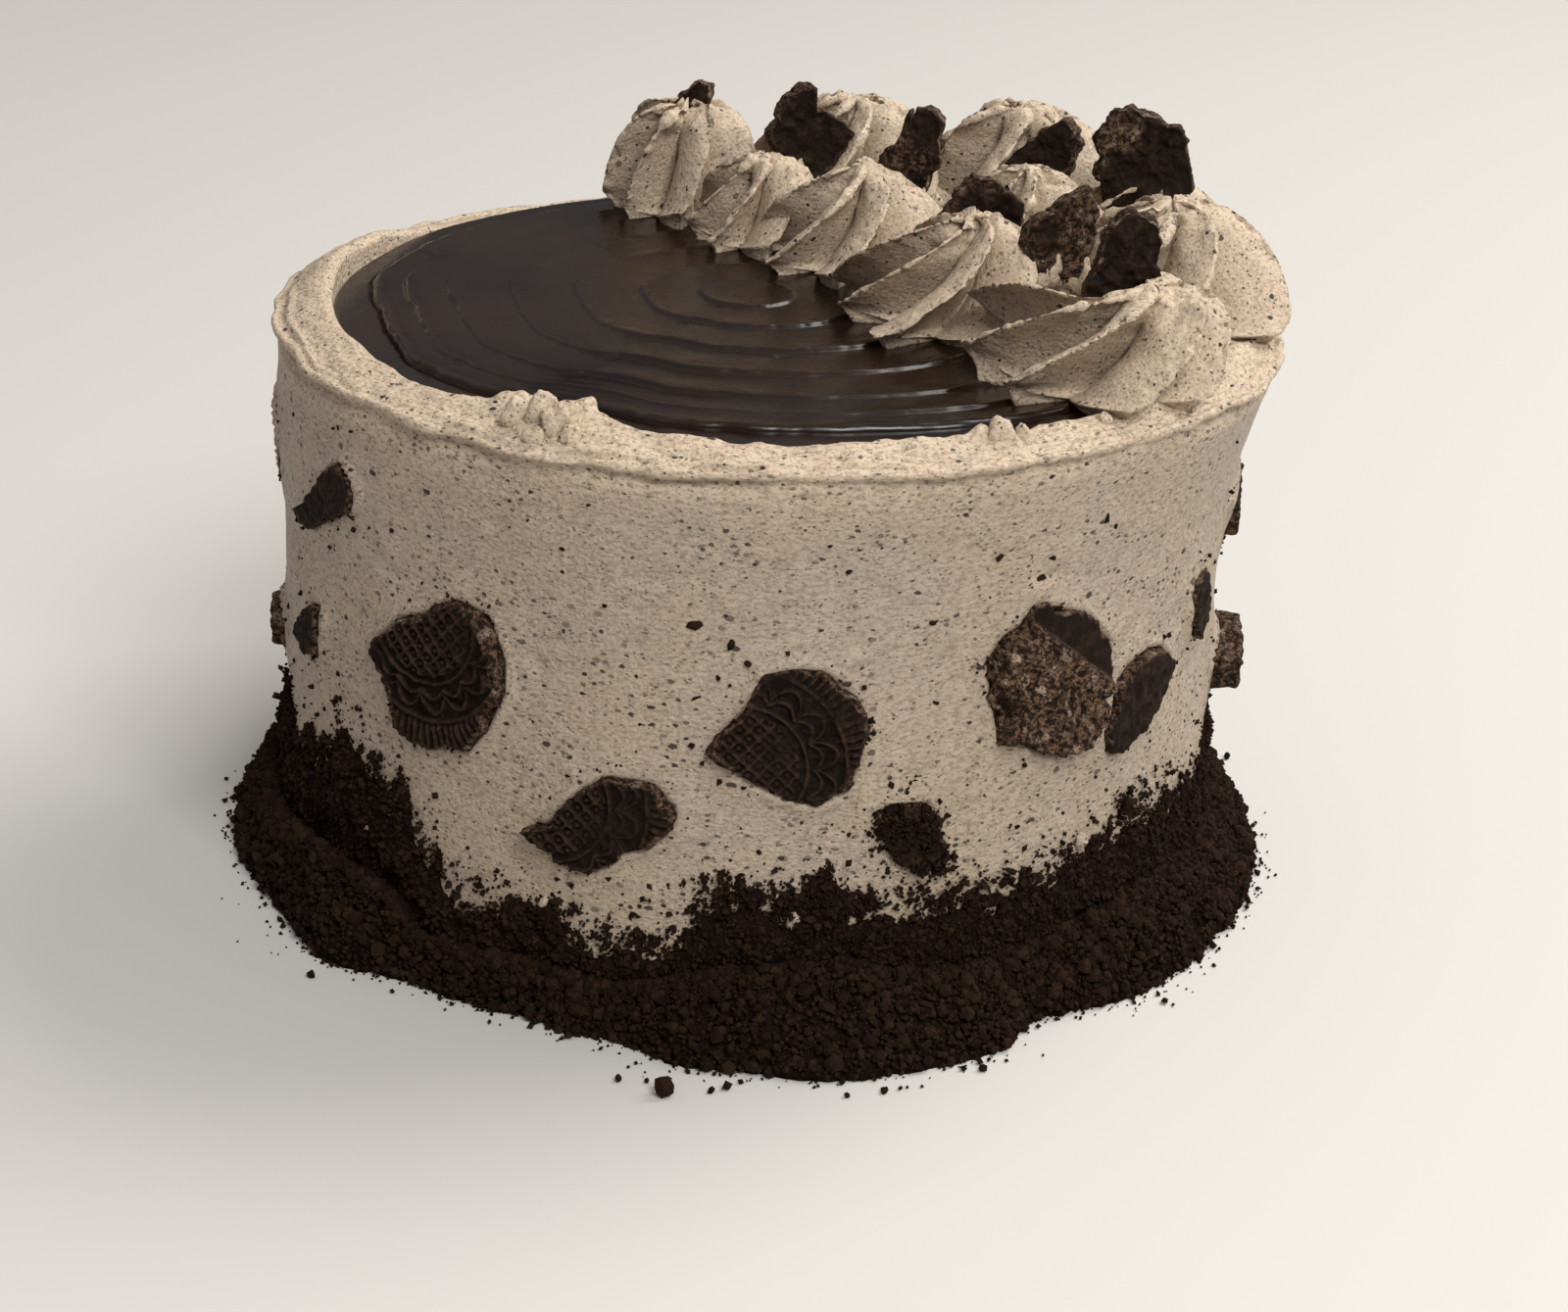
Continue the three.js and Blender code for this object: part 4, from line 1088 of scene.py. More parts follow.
def make_bank_grains(material):
    """Loose crumbs over the mound, and the last few that rolled away from its foot."""
    random = np.random.default_rng(7)
    for name, (form, count, size_range) in BANK_GRAINS.items():
        azimuth = random.uniform(-180, 180, count)
        share = random.random(count) ** 1.05
        sizes = grain_sizes(count, random, *size_range)
        places = bank_surface(azimuth, share)
        clump = 0.9 * crags(places, 4.5, 121)
        outward = polar(azimuth, 0.8, 0.6)
        places = places + outward * (clump + 0.35 + 0.5 * random.random(count))[:, None]
        places[:, 2] = np.maximum(places[:, 2], sizes * 0.3)
        make_grains(name, places, sizes, random, material, form)

    azimuth = random.uniform(-180, 180, FOOT_GRAINS)
    sizes = grain_sizes(FOOT_GRAINS, random, *FOOT_GRAIN_SIZES)
    out = along(CRUMB_FOOT, azimuth) + random.exponential(1.3, FOOT_GRAINS) - 0.8
    places = polar(azimuth, np.minimum(out, FARTHEST_CRUMB), sizes * 0.32)
    make_grains("foot_crumbs", places, sizes, random, material)


# Larger crumbs that lie clear of the bank: azimuth, distance from the middle, size
STRAY_CRUMBS = [
    (-95.5, 96.2, 4.3), (-100, 93.6, 1.7), (-97.5, 93.0, 1.2), (-91.5, 94.5, 1.4), (-79.5, 96.0, 1.3),
    (-76, 95.5, 1.5), (-74.5, 95.0, 1.1), (-66, 93.0, 1.6), (-136, 91.5, 1.5), (20, 92.5, 1.8),
    (75, 94, 1.5), (140, 90.5, 2.0),
]


def make_stray_crumbs(material):
    random = np.random.default_rng(17)
    azimuth, out, size = np.array(STRAY_CRUMBS).T
    make_grains("stray_crumbs", polar(azimuth, out, size * 0.36), size, random, material, BIG_GRAIN)


def make_clinging_grains(random, material, count=26000):
    """Crumbs on the buttercream, dense below the crumb line and scattered above it."""
    azimuth = random.uniform(-180, 180, count)
    low, top = 0.85 * mound_height(azimuth), cling_top(azimuth)
    height = low + (top + 1 - low) * random.random(count) ** 0.8
    keep = cling_depth(azimuth, height) + 1.3 * random.random(count) > 0.35
    above = random.random(count) < 0.06
    height = np.where(above, top - 3 + random.exponential(3.2, count), height)
    keep = keep | above
    azimuth, height, above = azimuth[keep], height[keep], above[keep]
    sizes = grain_sizes(len(azimuth), random, 0.6, 1.0, 2.1) * np.where(above, 0.75, 1)
    depth = np.clip(cling_depth(azimuth, height), 0, DEEPEST_CLING)
    places = polar(azimuth, wall_radius(azimuth, height) + depth + sizes * 0.16, height)
    make_grains("wall_crumbs", places, sizes, random, material)


def make_crumb_tufts(random, material, count=15000):
    """Clumps of fine crumbs along the crumb line."""
    azimuth = random.uniform(-180, 180, count)
    height = cling_top(azimuth) - 7 + 10 * random.random(count)
    clump = crags(polar(azimuth, WALL_RADIUS, height), 3.4, 149)
    keep = clump > -0.35 + 0.11 * (height - cling_top(azimuth) + 4) + 0.25 * random.random(count)
    azimuth, height = azimuth[keep], height[keep]
    sizes = grain_sizes(len(azimuth), random, 0.5, 0.85, 1.6)
    proud = sizes * (0.2 + 0.8 * random.random(len(sizes)))
    places = polar(azimuth, wall_radius(azimuth, height) + proud, height)
    make_grains("wall_crumb_tufts", places, sizes, random, material)


def make_wall_grains(material):
    random = np.random.default_rng(11)
    make_clinging_grains(random, material)
    make_crumb_tufts(random, material)


# How many crumbs lie round a side cookie with each kind of face, and the share that lies on it
SHED_CRUMBS = {"rough": (1100, 0.72), "broken": (110, 0), "embossed": (90, 0), "plain": (50, 0)}


def make_cookie_grains(material):
    """Crumbs shed round the side cookies, and a pile of them over the crumbled one."""
    random = np.random.default_rng(13)
    places, sizes = [], []
    for index, spot in enumerate(SIDE_COOKIES):
        count, share_on_top = SHED_CRUMBS[spot["face"]]
        angle = random.uniform(0, 2 * math.pi, count)
        spread = random.exponential(1.0, count) - 0.4
        inside = random.random(count) < share_on_top
        share = np.sqrt(random.random(count))
        reach = cookie_reach(spot, SIDE_COOKIE_SEED + index, angle)
        reach = np.where(inside, reach * share, reach + spread)
        lean = math.radians(spot.get("lean", 0))
        across, upward = reach * np.cos(angle), reach * np.sin(angle)
        x = across * math.cos(lean) - upward * math.sin(lean)
        height = spot["z"] + across * math.sin(lean) + upward * math.cos(lean)
        azimuth = spot["azimuth"] + np.degrees(x / WALL_RADIUS)
        size = grain_sizes(count, random, 0.45, 0.8, 1.8)
        on_top = np.where(inside, spot["proud"] + 0.3, 0.5)
        relief = 1.2 * crags(polar(azimuth, WALL_RADIUS, height), 3, 143) * inside
        places.append(polar(azimuth, wall_radius(azimuth, height) + on_top + relief, height))
        sizes.append(size)
    make_grains("cookie_side_crumbs", np.concatenate(places), np.concatenate(sizes), random, material)


# Cookie flecks that show as dark marks on the wall: azimuth, height, length, width, tilt from level
WALL_FLECKS = [
    (-95.2, 67.0, 2.6, 1.5, 10), (-91.2, 64.4, 1.8, 1.3, 60), (-92.7, 59.0, 1.0, 1.6, 0),
    (-90.8, 59.4, 1.0, 1.4, 20), (-93.3, 52.2, 5.8, 1.5, 8), (-94.9, 55.6, 1.4, 1.0, 30),
    (-94.6, 46.6, 1.1, 1.6, 10), (-93.2, 45.0, 1.0, 1.8, 30), (-70.3, 41.5, 1.6, 1.0, 0),
    (-56.6, 71.5, 3.4, 1.4, 26), (-55, 74.5, 1.4, 1.0, 0), (-47.6, 79.0, 1.4, 1.6, 0),
    (-46, 77, 1.2, 1.2, 0), (-125, 64, 1.6, 0.9, 20), (-110, 73, 1.3, 1, 0), (-79, 76, 1.2, 0.9, 0),
    (-62, 76, 1.4, 0.9, 30),
]
# The same measures, each between a least and a most, for flecks strewn at random
STREWN_FLECKS = 130
STREWN_RANGES = [(-180, 180), (30, 86), (0.5, 1.3), (0.4, 0.9), (-40, 40)]


def make_wall_flecks(material):
    """Flat flecks of cookie caught in the scraped wall, some at known places and the rest strewn."""
    random = np.random.default_rng(19)
    strewn = np.stack([random.uniform(*limits, STREWN_FLECKS) for limits in STREWN_RANGES], -1)
    azimuth, height, length, width, tilt = np.concatenate([WALL_FLECKS, strewn]).T
    corners, sides = BIG_GRAIN
    shape = corners[None] * (1 + 1.1 * (random.random((len(azimuth), len(corners), 1)) - 0.5))
    x = shape[..., 0] * length[:, None] / 2
    y = shape[..., 1] * width[:, None] / 2
    turn = np.radians(tilt)[:, None]
    around = x * np.cos(turn) - y * np.sin(turn)
    level = height[:, None] + x * np.sin(turn) + y * np.cos(turn)
    out = wall_radius(azimuth, height)[:, None] + 0.32 * shape[..., 2]
    points = polar(azimuth[:, None] + np.degrees(around / WALL_RADIUS), out, level)
    join_grains("wall_flecks", points, sides, random, material, smooth=True)


# ---- Torn buttercream ------------------------------------------------------------------------------

# Dabs of buttercream that show through the crumbs: azimuth, height, distance from the middle, size
BANK_DABS = [
    (-83.5, 20, 77.7, 2.4), (-138, 21, 77.8, 2.4), (-134, 26, 77.4, 2), (-47, 25, 77.4, 2.4),
    (-112, 18.5, 77.4, 2),
]

# Knobs of buttercream on the rim: azimuth, height, distance from the middle, size
RIM_KNOBS = [
    (-114.6, 94.2, 72.6, 5.6), (-112.0, 93.6, 74.0, 5.2), (-117.4, 93.6, 73.6, 4.4),
    (-113.4, 91.8, 76.8, 4.2), (-111.2, 94.4, 72.4, 4.4), (-110.0, 92.4, 75.8, 3.6),
    (-61.4, 93.2, 75.0, 4.4), (-58.6, 92.7, 75.8, 3.4), (-72, 92.6, 74.8, 2.4), (-47, 92.8, 76, 2.8),
]
LUMP_ROWS = 13
LUMP_SIDES = 20
TEARS_PER_COOKIE = 6
# Each lump draws its shape from a seed of its own, counted up from these
TEAR_SEED = 310
KNOB_SEED = 400


def lump_grid(centre, size, seed, taper):
    """A small torn lump of buttercream, narrower towards its top by its taper."""
    climb = np.linspace(0.06, math.pi - 0.06, LUMP_ROWS)[:, None]
    around = np.linspace(0, 2 * math.pi, LUMP_SIDES, endpoint=False)
    level = -np.cos(climb) + 0 * around
    ball = np.stack([np.sin(climb) * np.cos(around), np.sin(climb) * np.sin(around), level], -1)
    bumps = 1 + 0.42 * crags(ball * 2 + 9 * seed, 1.5, seed)
    shape = ball * bumps[..., None]
    shape[..., :2] *= 1 - taper * np.clip((ball[..., 2:] + 1) / 2, 0, 1)
    return np.array(centre) + shape * np.array(size) / 2


def make_torn_buttercream(material):
    """Small ragged lumps: where cookies tore the swirls, and where the coat shows through the crumbs."""
    draw = seeded_random(301)
    torn = []
    for index, spot in enumerate(CROWN_COOKIES):
        facing = math.radians(spot["facing"])
        across = np.array([-math.sin(facing), math.cos(facing), 0])
        ahead = np.array([math.cos(facing), math.sin(facing), 0])
        low = min(corner[1] for corner in spot["outline"])
        wide = max(corner[0] for corner in spot["outline"])
        for step in range(TEARS_PER_COOKIE):
            drop = low * (0.78 + 0.22 * next(draw))
            place = np.array([spot["x"], spot["y"], spot["z"] + drop])
            place = place + across * wide * 0.95 * (step / 2.5 - 1) + ahead * (2.8 + 0.8 * next(draw))
            size = (2.6 + 2.4 * next(draw), 2.6 + 1.6 * next(draw), 2.8 + 3.6 * next(draw))
            torn.append(lump_grid(place, size, TEAR_SEED + 10 * index + step, taper=0.5))
    for index, (azimuth, height, out, size) in enumerate(BANK_DABS + RIM_KNOBS):
        shape = (size, size * 0.8, size * 1.2)
        torn.append(lump_grid(polar(azimuth, out, height), shape, KNOB_SEED + index, taper=0.2))
    points, faces, first = [], [], 0
    for grid in torn:
        some_points, some_faces = closed_skin(grid)
        points.append(some_points)
        faces += [[first + corner for corner in face] for face in some_faces]
        first += len(some_points)
    make_piece("torn_buttercream", np.concatenate(points), faces, [], material)


# ---- Material helpers ------------------------------------------------------------------------------


def feed(tree, socket, value):
    """Wires an output into the socket, or sets it to a number, a vector or a colour without alpha."""
    if isinstance(value, bpy.types.NodeSocket):
        tree.links.new(value, socket)
    elif socket.type == "RGBA":
        socket.default_value = (*value, 1.0)
    else:
        socket.default_value = value


def add(tree, kind, settings=None, **inputs):
    """A node with its settings, and its inputs fed by name, with _ for a space."""
    made = tree.nodes.new(kind)
    for key, value in (settings or {}).items():
        setattr(made, key, value)
    for key, value in inputs.items():
        found = [socket for socket in made.inputs if socket.name == key.replace("_", " ") and socket.enabled]
        feed(tree, found[0], value)
    return made


def math_node(tree, operation, *values):
    made = add(tree, "ShaderNodeMath", {"operation": operation})
    for socket, value in zip(made.inputs, values):
        feed(tree, socket, value)
    return made.outputs[0]


def remap(tree, value, low, high, out_low=0.0, out_high=1.0):
    """Carries low to out_low and high to out_high, easing in between and level beyond."""
    made = add(
        tree,
        "ShaderNodeMapRange",
        {"clamp": True, "interpolation_type": "SMOOTHSTEP"},
        Value=value,
        From_Min=low,
        From_Max=high,
        To_Min=out_low,
        To_Max=out_high,
    )
    return made.outputs[0]


def blend_colour(tree, share, first, second, way="MIX"):
    made = add(tree, "ShaderNodeMix", {"data_type": "RGBA", "blend_type": way})
    enabled = [socket for socket in made.inputs if socket.enabled]
    for socket, value in zip(enabled, (share, first, second)):
        feed(tree, socket, value)
    return [socket for socket in made.outputs if socket.enabled][0]


def noise(tree, vector, scale, detail=3.0, roughness=0.55):
    made = add(tree, "ShaderNodeTexNoise", Vector=vector, Scale=scale, Detail=detail, Roughness=roughness)
    return made.outputs[0]


def new_group(name, inputs, outputs):
    """An empty shader group with named sockets, its inputs given with their defaults."""
    group = bpy.data.node_groups.new(name, "ShaderNodeTree")
    for label, value in inputs:
        kind = "NodeSocketVector" if value is None else "NodeSocketFloat"
        socket = group.interface.new_socket(label, in_out="INPUT", socket_type=kind)
        if value is not None:
            socket.default_value = value
    for label, kind in outputs:
        group.interface.new_socket(label, in_out="OUTPUT", socket_type=kind)
    return group, group.nodes.new("NodeGroupInput").outputs, group.nodes.new("NodeGroupOutput").inputs


def use_group(tree, group, **inputs):
    made = tree.nodes.new("ShaderNodeGroup")
    made.node_tree = group
    for key, value in inputs.items():
        feed(tree, made.inputs[key.replace("_", " ")], value)
    return made.outputs


def new_material(name):
    """A material with its node tree, its shader, and its places on the piece in millimetres."""
    material = bpy.data.materials.new(name)
    material.use_nodes = True
    tree = material.node_tree
    metres = tree.nodes.new("ShaderNodeTexCoord").outputs["Object"]
    place = add(tree, "ShaderNodeVectorMath", {"operation": "SCALE"}, Vector=metres, Scale=1 / MM)
    return material, tree, tree.nodes["Principled BSDF"], place.outputs[0]


def stretched(tree, vector, x, y, z):
    made = add(tree, "ShaderNodeVectorMath", {"operation": "MULTIPLY"}, Vector=vector)
    made.inputs[1].default_value = (x, y, z)
    return made.outputs[0]


def unrolled(tree, place):
    """The cake's side laid flat: arc length, distance out and height, so that streaks can run round it."""
    split = add(tree, "ShaderNodeSeparateXYZ", Vector=place)
    angle = math_node(tree, "ARCTAN2", split.outputs[1], split.outputs[0])
    arc = math_node(tree, "MULTIPLY", angle, WALL_RADIUS)
    flat = add(tree, "ShaderNodeCombineXYZ", X=split.outputs[0], Y=split.outputs[1])
    out_way = add(tree, "ShaderNodeVectorMath", {"operation": "LENGTH"}, Vector=flat.outputs[0])
    made = add(tree, "ShaderNodeCombineXYZ", X=arc, Y=out_way.outputs["Value"], Z=split.outputs[2])
    return made.outputs[0]


def bump(tree, height, distance):
    """Normals that stand the height out by the distance in millimetres."""
    return add(tree, "ShaderNodeBump", Height=height, Distance=distance * MM, Strength=1.0).outputs[0]


# ---- Effects used by more than one material --------------------------------------------------------


def specks_group():
    """Spots scattered through a solid: some cells of a cell pattern hold one, of its own size."""
    group, given, out = new_group(
        "Scattered specks",
        [("Position", None), ("Spacing", 1.0), ("Share", 0.3), ("Radius", 0.3)],
        [("Mask", "NodeSocketFloat"), ("Tone", "NodeSocketFloat")],
    )
    scale = math_node(group, "DIVIDE", 1.0, given["Spacing"])
    wobble = add(group, "ShaderNodeTexNoise", Vector=given["Position"], Scale=2.2, Detail=1.0)
    shaken = add(group, "ShaderNodeVectorMath", {"operation": "MULTIPLY_ADD"})
    for socket, value in zip(shaken.inputs, (wobble.outputs["Color"], (0.5, 0.5, 0.5), given["Position"])):
        feed(group, socket, value)
    cells = add(group, "ShaderNodeTexVoronoi", Vector=shaken.outputs[0], Scale=scale)
    drawn = add(group, "ShaderNodeSeparateColor", Color=cells.outputs["Color"])
    present = math_node(group, "LESS_THAN", drawn.outputs[0], given["Share"])
    size = math_node(group, "MULTIPLY", given["Radius"], remap(group, drawn.outputs[1], 0, 1, 0.35, 1.0))
    inner = math_node(group, "MULTIPLY", size, 0.72)
    spot = remap(group, cells.outputs["Distance"], size, inner)
    group.links.new(math_node(group, "MULTIPLY", spot, present), out["Mask"])
    group.links.new(drawn.outputs[2], out["Tone"])
    return group


def baked_group():
    """The dry, open grain of baked cocoa dough: a height and a tone."""
    group, given, out = new_group(
        "Baked grain",
        [("Position", None), ("Size", 1.0)],
        [("Height", "NodeSocketFloat"), ("Tone", "NodeSocketFloat")],
    )
    scale = math_node(group, "DIVIDE", 1.0, given["Size"])
    coarse = noise(group, given["Position"], scale, 4.0, 0.65)
    cells = add(group, "ShaderNodeTexVoronoi", Vector=given["Position"], Scale=scale)
    height = math_node(group, "MULTIPLY_ADD", cells.outputs["Distance"], -0.45, coarse)
    fine_scale = math_node(group, "MULTIPLY", scale, 2.7)
    tone = noise(group, given["Position"], fine_scale, 3.0, 0.6)
    group.links.new(height, out["Height"])
    group.links.new(tone, out["Tone"])
    return group


# ---- Materials -------------------------------------------------------------------------------------

CREAM_WARM = (0.415, 0.331, 0.242)
CREAM_COOL = (0.395, 0.324, 0.255)
CREAM_PALE = (0.495, 0.406, 0.308)
# Cream on the rim and the swirls, paler and warmer: painted top light
CREAM_TOP_PAINTED_LIGHT = (0.545, 0.435, 0.32)
CREAM_HAZE = (0.235, 0.175, 0.125)
CREAM_SMUDGE = (0.20, 0.165, 0.14)
DUST_BROWN = (0.12, 0.085, 0.06)
SPECK_DARK = (0.020, 0.013, 0.010)

# Cookie specks in the cream, finest first: spacing, share of the places that hold one, size
WALL_SPECKS = [(0.55, 0.6, 0.42), (1.05, 0.5, 0.34), (2.7, 0.36, 0.23)]
PIPED_SPECKS = [(0.55, 0.6, 0.42), (1.05, 0.5, 0.34), (2.7, 0.42, 0.25)]
# How strongly each of the three shows, from least to most, and its colour
SPECK_TINTS = [(0.35, 0.95, DUST_BROWN), (0.5, 1.0, SPECK_DARK), (0.5, 1.0, SPECK_DARK)]

GANACHE_DARK = (0.0058, 0.0027, 0.0019)
GANACHE_BROWN = (0.0125, 0.0054, 0.0030)
# Inside the pinholes: painted shade
GANACHE_HOLE_SHADE = (0.002, 0.001, 0.001)

WAFER_DARK = (0.0050, 0.0026, 0.0017)
WAFER_LIT = (0.0130, 0.0066, 0.0041)
# Raised lines and grain tops of the wafer: painted highlight
WAFER_RIDGE_HIGHLIGHT = (0.040, 0.0225, 0.0145)
OPEN_DARK = (0.016, 0.009, 0.006)
OPEN_BROWN = (0.17, 0.10, 0.06)
OPEN_PALE = (0.38, 0.29, 0.215)
CREAM_BIT = (0.26, 0.185, 0.13)

CRUMB_DARK = (0.0062, 0.0028, 0.0017)
CRUMB_BROWN = (0.0215, 0.0108, 0.0066)
CRUMB_LIT = (0.036, 0.019, 0.012)


def buttercream_material(name, specks, smeared):
    """Grey-beige buttercream full of cookie dust, painted paler and warmer towards the top as painted top
    light. On the wall the scraper smears it sideways.
    """
    material, tree, shader, place = new_material(name)
    where = unrolled(tree, place) if smeared else place
    drawn_out = stretched(tree, where, 0.66, 1.0, 1.0) if smeared else where

    cloud = noise(tree, place, 0.045, 2.0)
    patch = noise(tree, place, 0.28, 3.0)
    colour = blend_colour(tree, remap(tree, cloud, 0.38, 0.62), CREAM_WARM, CREAM_COOL)
    colour = blend_colour(tree, remap(tree, patch, 0.35, 0.75, 0.0, 0.55), colour, CREAM_PALE)
    # Paler and warmer from the rim up: painted top light, blended in by height
    height = add(tree, "ShaderNodeSeparateXYZ", Vector=place).outputs[2]
    colour = blend_colour(tree, remap(tree, height, 82, 92), colour, CREAM_TOP_PAINTED_LIGHT)

    haze = noise(tree, stretched(tree, drawn_out, 1.0, 1.0, 1.25), 1.5, 4.0, 0.72)
    haze = remap(tree, haze, 0.42, 0.66, 0.0, 0.8 if smeared else 0.6)
    colour = blend_colour(tree, haze, colour, CREAM_HAZE)
    smudge = noise(tree, stretched(tree, where, 0.5, 1.0, 1.0), 0.16, 3.0)
    colour = blend_colour(tree, remap(tree, smudge, 0.6, 0.78, 0.0, 0.35), colour, CREAM_SMUDGE)
    dust, fine, flecks = (
        use_group(tree, specks, Position=drawn_out, Spacing=spacing, Share=share, Radius=size)
        for spacing, share, size in (WALL_SPECKS if smeared else PIPED_SPECKS)
    )
    for spots, (least, most, tint) in zip((dust, fine, flecks), SPECK_TINTS):
        shade = math_node(tree, "MULTIPLY", spots["Mask"], remap(tree, spots["Tone"], 0, 1, least, most))
        colour = blend_colour(tree, shade, colour, tint)
    tree.links.new(colour, shader.inputs["Base Color"])

    grain = noise(tree, where, 1.6, 4.0, 0.6)
    streaks = noise(tree, stretched(tree, where, 0.12, 1.0, 1.7), 0.9, 3.0) if smeared else grain
    relief = math_node(tree, "MULTIPLY_ADD", streaks, 0.4, grain)
    relief = math_node(tree, "MULTIPLY_ADD", fine["Mask"], 0.35, relief)
    tree.links.new(bump(tree, relief, 0.36 if smeared else 0.26), shader.inputs["Normal"])
    tree.links.new(remap(tree, grain, 0.3, 0.7, 0.48, 0.66), shader.inputs["Roughness"])
    shader.inputs["Specular IOR Level"].default_value = 0.35
    return material


def ganache_material(specks):
    """Dark poured ganache: a soft gloss, browner where it is thin, with pinholes painted near-black as
    painted shade.
    """
    material, tree, shader, place = new_material("ganache")
    broad = noise(tree, place, 0.035, 2.0)
    colour = blend_colour(tree, remap(tree, broad, 0.35, 0.65), GANACHE_DARK, GANACHE_BROWN)
    holes = use_group(tree, specks, Position=place, Spacing=6.0, Share=0.12, Radius=0.07)["Mask"]
    # The pinholes are painted near-black: painted shade in the pits
    colour = blend_colour(tree, holes, colour, GANACHE_HOLE_SHADE)
    tree.links.new(colour, shader.inputs["Base Color"])
    film = noise(tree, place, 0.12, 4.0, 0.6)
    tree.links.new(remap(tree, film, 0.3, 0.7, 0.2, 0.3), shader.inputs["Roughness"])
    fine = noise(tree, place, 0.7, 3.0, 0.55)
    soft = noise(tree, place, 0.16, 2.0)
    relief = math_node(tree, "MULTIPLY_ADD", soft, 0.7, math_node(tree, "MULTIPLY", fine, 0.12))
    relief = math_node(tree, "MULTIPLY_ADD", holes, -1.2, relief)
    tree.links.new(bump(tree, relief, 0.16), shader.inputs["Normal"])
    shader.inputs["Specular IOR Level"].default_value = 0.34
    return material


def cookie_material(specks, baked):
    """Near-black cocoa wafer with painted highlights on its raised lines and grain tops, and paler open
    crumb where it is broken.
    """
    material, tree, shader, place = new_material("cookie")
    grain = use_group(tree, baked, Position=place, Size=0.75)
    coarse = use_group(tree, baked, Position=place, Size=2.4)
    colour = blend_colour(tree, remap(tree, grain["Tone"], 0.45, 0.72), WAFER_DARK, WAFER_LIT)
    raised = add(tree, "ShaderNodeAttribute", {"attribute_name": "raised"}).outputs["Fac"]
    # The raised lines and grain tops are painted paler: painted highlight
    ridge_highlight = math_node(tree, "MULTIPLY", raised, remap(tree, coarse["Tone"], 0.3, 0.65, 0.25, 1.0))
    colour = blend_colour(tree, ridge_highlight, colour, WAFER_RIDGE_HIGHLIGHT)
    broken = add(tree, "ShaderNodeAttribute", {"attribute_name": "broken"}).outputs["Fac"]
    open_crumb = blend_colour(tree, remap(tree, coarse["Tone"], 0.42, 0.62), OPEN_DARK, OPEN_BROWN)
    pale_crumb = remap(tree, noise(tree, place, 0.5, 3.0, 0.6), 0.55, 0.7, 0.0, 0.75)
    open_crumb = blend_colour(tree, pale_crumb, open_crumb, OPEN_PALE)
    share = math_node(tree, "MULTIPLY", broken, remap(tree, grain["Tone"], 0.34, 0.56))
    colour = blend_colour(tree, share, colour, open_crumb)
    bits = use_group(tree, specks, Position=place, Spacing=2.2, Share=0.35, Radius=0.3)
    pale = math_node(tree, "MULTIPLY", bits["Mask"], remap(tree, broken, 0.78, 0.98, 0.0, 0.6))
    colour = blend_colour(tree, pale, colour, CREAM_BIT)
    tree.links.new(colour, shader.inputs["Base Color"])
    relief = math_node(tree, "MULTIPLY_ADD", grain["Height"], 0.6, coarse["Height"])
    tree.links.new(bump(tree, relief, 0.32), shader.inputs["Normal"])
    tree.links.new(remap(tree, grain["Tone"], 0.3, 0.7, 0.85, 0.6), shader.inputs["Roughness"])
    shader.inputs["Specular IOR Level"].default_value = 0.1
    return material


def crumb_material(baked):
    """Dry dark crumbs, each its own shade."""
    material, tree, shader, place = new_material("crumbs")
    grain = use_group(tree, baked, Position=place, Size=0.6)
    own = add(tree, "ShaderNodeAttribute", {"attribute_name": "grain"}).outputs["Fac"]
    colour = blend_colour(tree, own, CRUMB_DARK, CRUMB_BROWN)
    lit = remap(tree, grain["Tone"], 0.5, 0.75, 0.0, 0.6)
    colour = blend_colour(tree, lit, colour, CRUMB_LIT)
    tree.links.new(colour, shader.inputs["Base Color"])
    tree.links.new(bump(tree, grain["Height"], 0.22), shader.inputs["Normal"])
    tree.links.new(remap(tree, grain["Tone"], 0.3, 0.7, 0.95, 0.78), shader.inputs["Roughness"])
    shader.inputs["Specular IOR Level"].default_value = 0.08
    return material


# ---- Stage, light and camera -----------------------------------------------------------------------

CAMERA_PLACE = (0.0059, -0.52543, 0.25108)
CAMERA_PITCH = 22.78
CAMERA_ROLL = 2.06
CAMERA_LENS = 77.25
SENSOR_WIDTH = 36.0

FLOOR_WIDTH = 8.0
FLOOR_COLOUR = (0.54, 0.53, 0.51, 1)
FLOOR_ROUGHNESS = 0.6

ROOM_LOW = (0.075, 0.068, 0.068)
ROOM_HIGH = (0.45, 0.435, 0.42)
ROOM_LEFT = (0.105, 0.085, 0.095)

# Each softbox: its place in metres, width and height, watts and colour
LIT_POINT = (0, 0, 0.07)
SOFTBOXES = {
    "overhead": ((0.8, 0.5, 1.1), (0.9, 0.9), 20.0, (1.0, 0.965, 0.91)),
    "front_right": ((0.5, -1.15, 1.25), (0.7, 0.7), 25.0, (1.0, 0.985, 0.96)),
}


def make_stage():
    mesh = bpy.data.meshes.new("floor")
    half = FLOOR_WIDTH / 2
    corners = [(-half, -half, 0), (half, -half, 0), (half, half, 0), (-half, half, 0)]
    mesh.from_pydata(corners, [], [(0, 1, 2, 3)])
    floor = bpy.data.objects.new("floor", mesh)
    bpy.context.scene.collection.objects.link(floor)
    material = bpy.data.materials.new("pale_floor")
    material.use_nodes = True
    shader = material.node_tree.nodes["Principled BSDF"]
    shader.inputs["Base Color"].default_value = FLOOR_COLOUR
    shader.inputs["Roughness"].default_value = FLOOR_ROUGHNESS
    mesh.materials.append(material)


def add_softbox(name, place, size, watts, colour):
    light = bpy.data.lights.new(name, "AREA")
    light.shape = "RECTANGLE"
    light.size, light.size_y = size
    light.energy = watts
    light.color = colour
    lamp = bpy.data.objects.new(name, light)
    lamp.location = place
    lamp.rotation_euler = (Vector(LIT_POINT) - Vector(place)).to_track_quat("-Z", "Y").to_euler()
    bpy.context.scene.collection.objects.link(lamp)


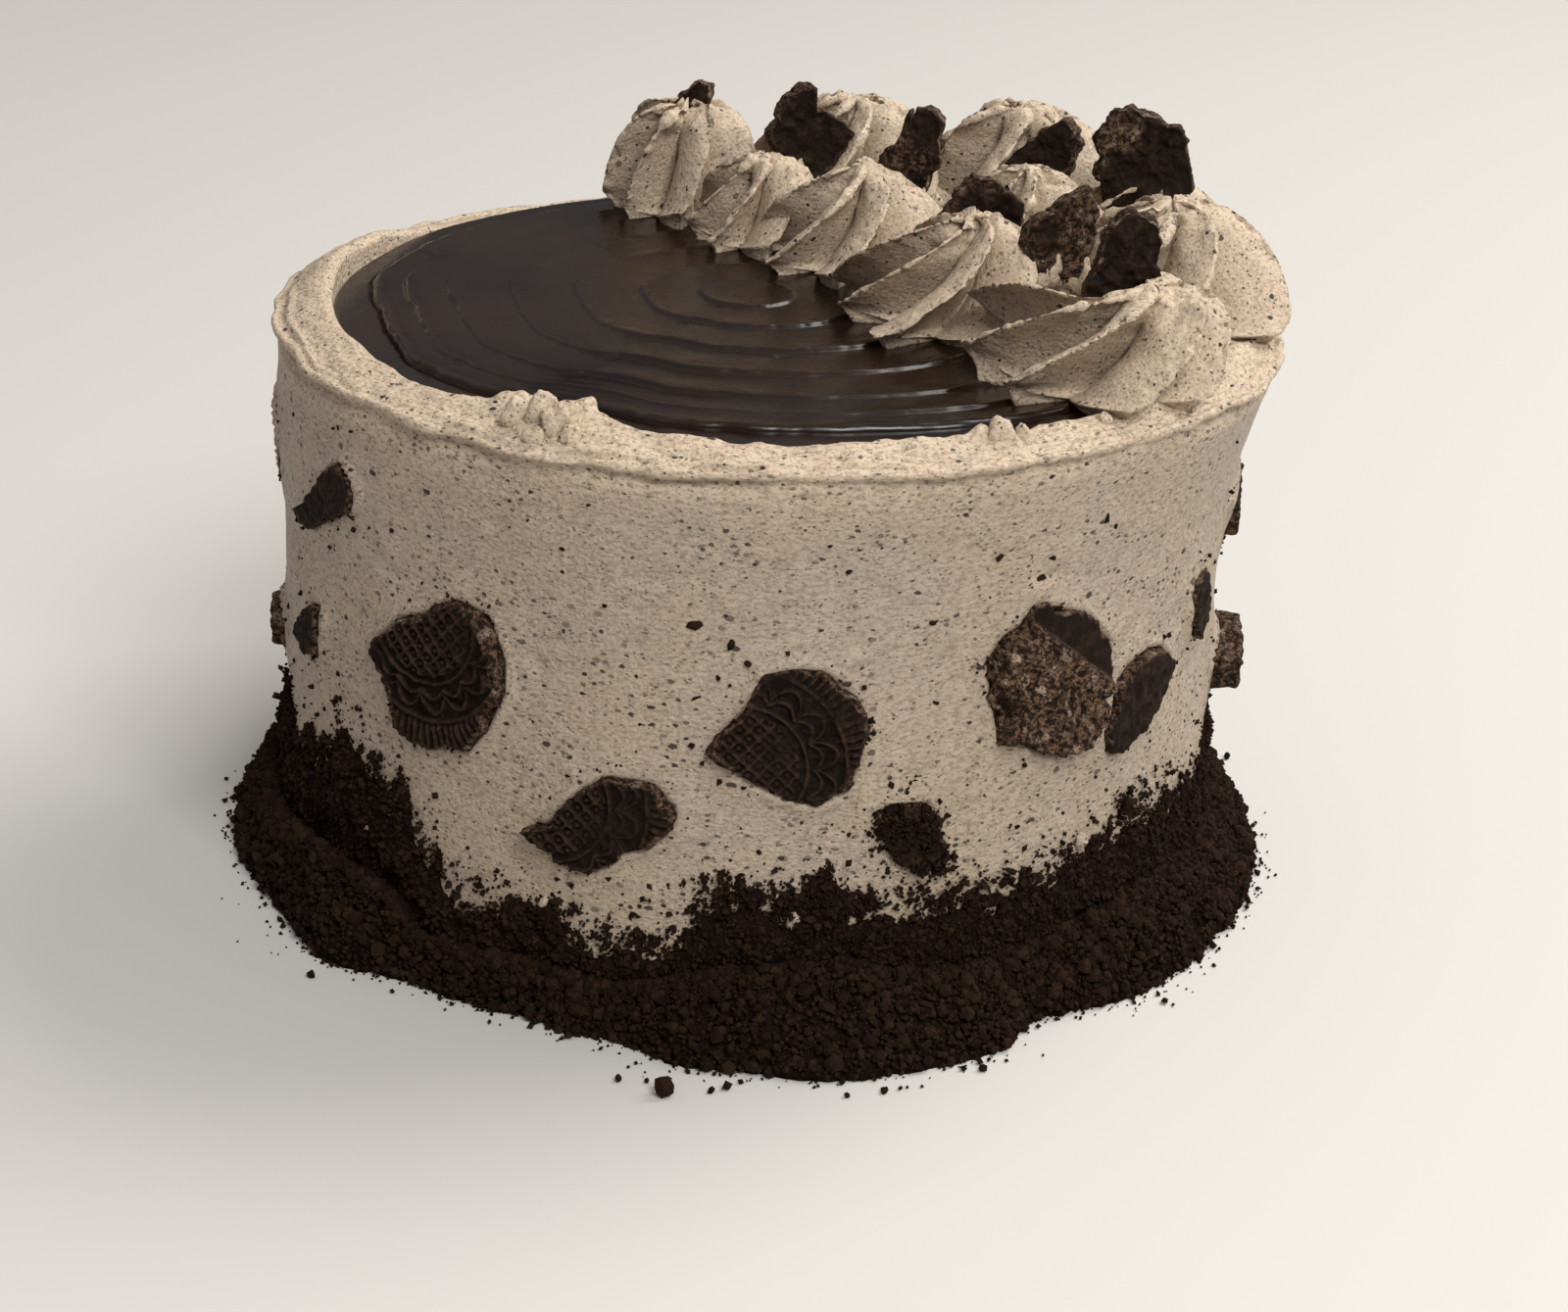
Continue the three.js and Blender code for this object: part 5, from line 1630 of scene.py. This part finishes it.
def make_light():
    """A room dim at its horizon and lighter at the left, a broad light above, and a key at the front."""
    world = bpy.data.worlds.new("studio")
    world.use_nodes = True
    tree = world.node_tree
    background = tree.nodes["Background"]
    directions = tree.nodes.new("ShaderNodeTexCoord").outputs["Generated"]
    way = add(tree, "ShaderNodeSeparateXYZ", Vector=directions)
    colour = blend_colour(tree, remap(tree, way.outputs[2], 0.05, 0.9), ROOM_LOW, ROOM_HIGH)
    to_left = remap(tree, way.outputs[0], 0.1, -0.8)
    colour = blend_colour(tree, to_left, colour, ROOM_LEFT, "ADD")
    tree.links.new(colour, background.inputs["Color"])
    background.inputs["Strength"].default_value = 1.0
    bpy.context.scene.world = world
    for name, (place, size, watts, colour) in SOFTBOXES.items():
        add_softbox(name, place, size, watts, colour)


def make_camera():
    data = bpy.data.cameras.new("camera")
    data.lens = CAMERA_LENS
    data.sensor_width = SENSOR_WIDTH
    data.sensor_fit = "HORIZONTAL"
    data.clip_start = 0.01
    camera = bpy.data.objects.new("camera", data)
    pitch = Matrix.Rotation(math.radians(90 - CAMERA_PITCH), 4, "X")
    roll = Matrix.Rotation(math.radians(CAMERA_ROLL), 4, "Z")
    camera.matrix_world = Matrix.Translation(CAMERA_PLACE) @ (pitch @ roll)
    bpy.context.scene.collection.objects.link(camera)
    bpy.context.scene.camera = camera


# ---- Putting the cake together ---------------------------------------------------------------------


def dress_cake():
    specks, baked = specks_group(), baked_group()
    coat = buttercream_material("buttercream_scraped", specks, smeared=True)
    piped = buttercream_material("buttercream_piped", specks, smeared=False)
    ganache = ganache_material(specks)
    cookie = cookie_material(specks, baked)
    crumbs = crumb_material(baked)
    make_coat(coat)
    make_ganache(ganache)
    for index, spec in enumerate(SWIRLS):
        make_swirl(spec, SWIRL_SEED + index, piped)
    make_side_cookies(cookie)
    make_crown_cookies(cookie)
    make_bank(crumbs)
    make_bank_grains(crumbs)
    make_stray_crumbs(crumbs)
    make_wall_grains(crumbs)
    make_cookie_grains(crumbs)
    make_wall_flecks(crumbs)
    make_torn_buttercream(piped)


dress_cake()
make_stage()
make_light()
make_camera()
bpy.context.scene.view_settings.view_transform = "Standard"
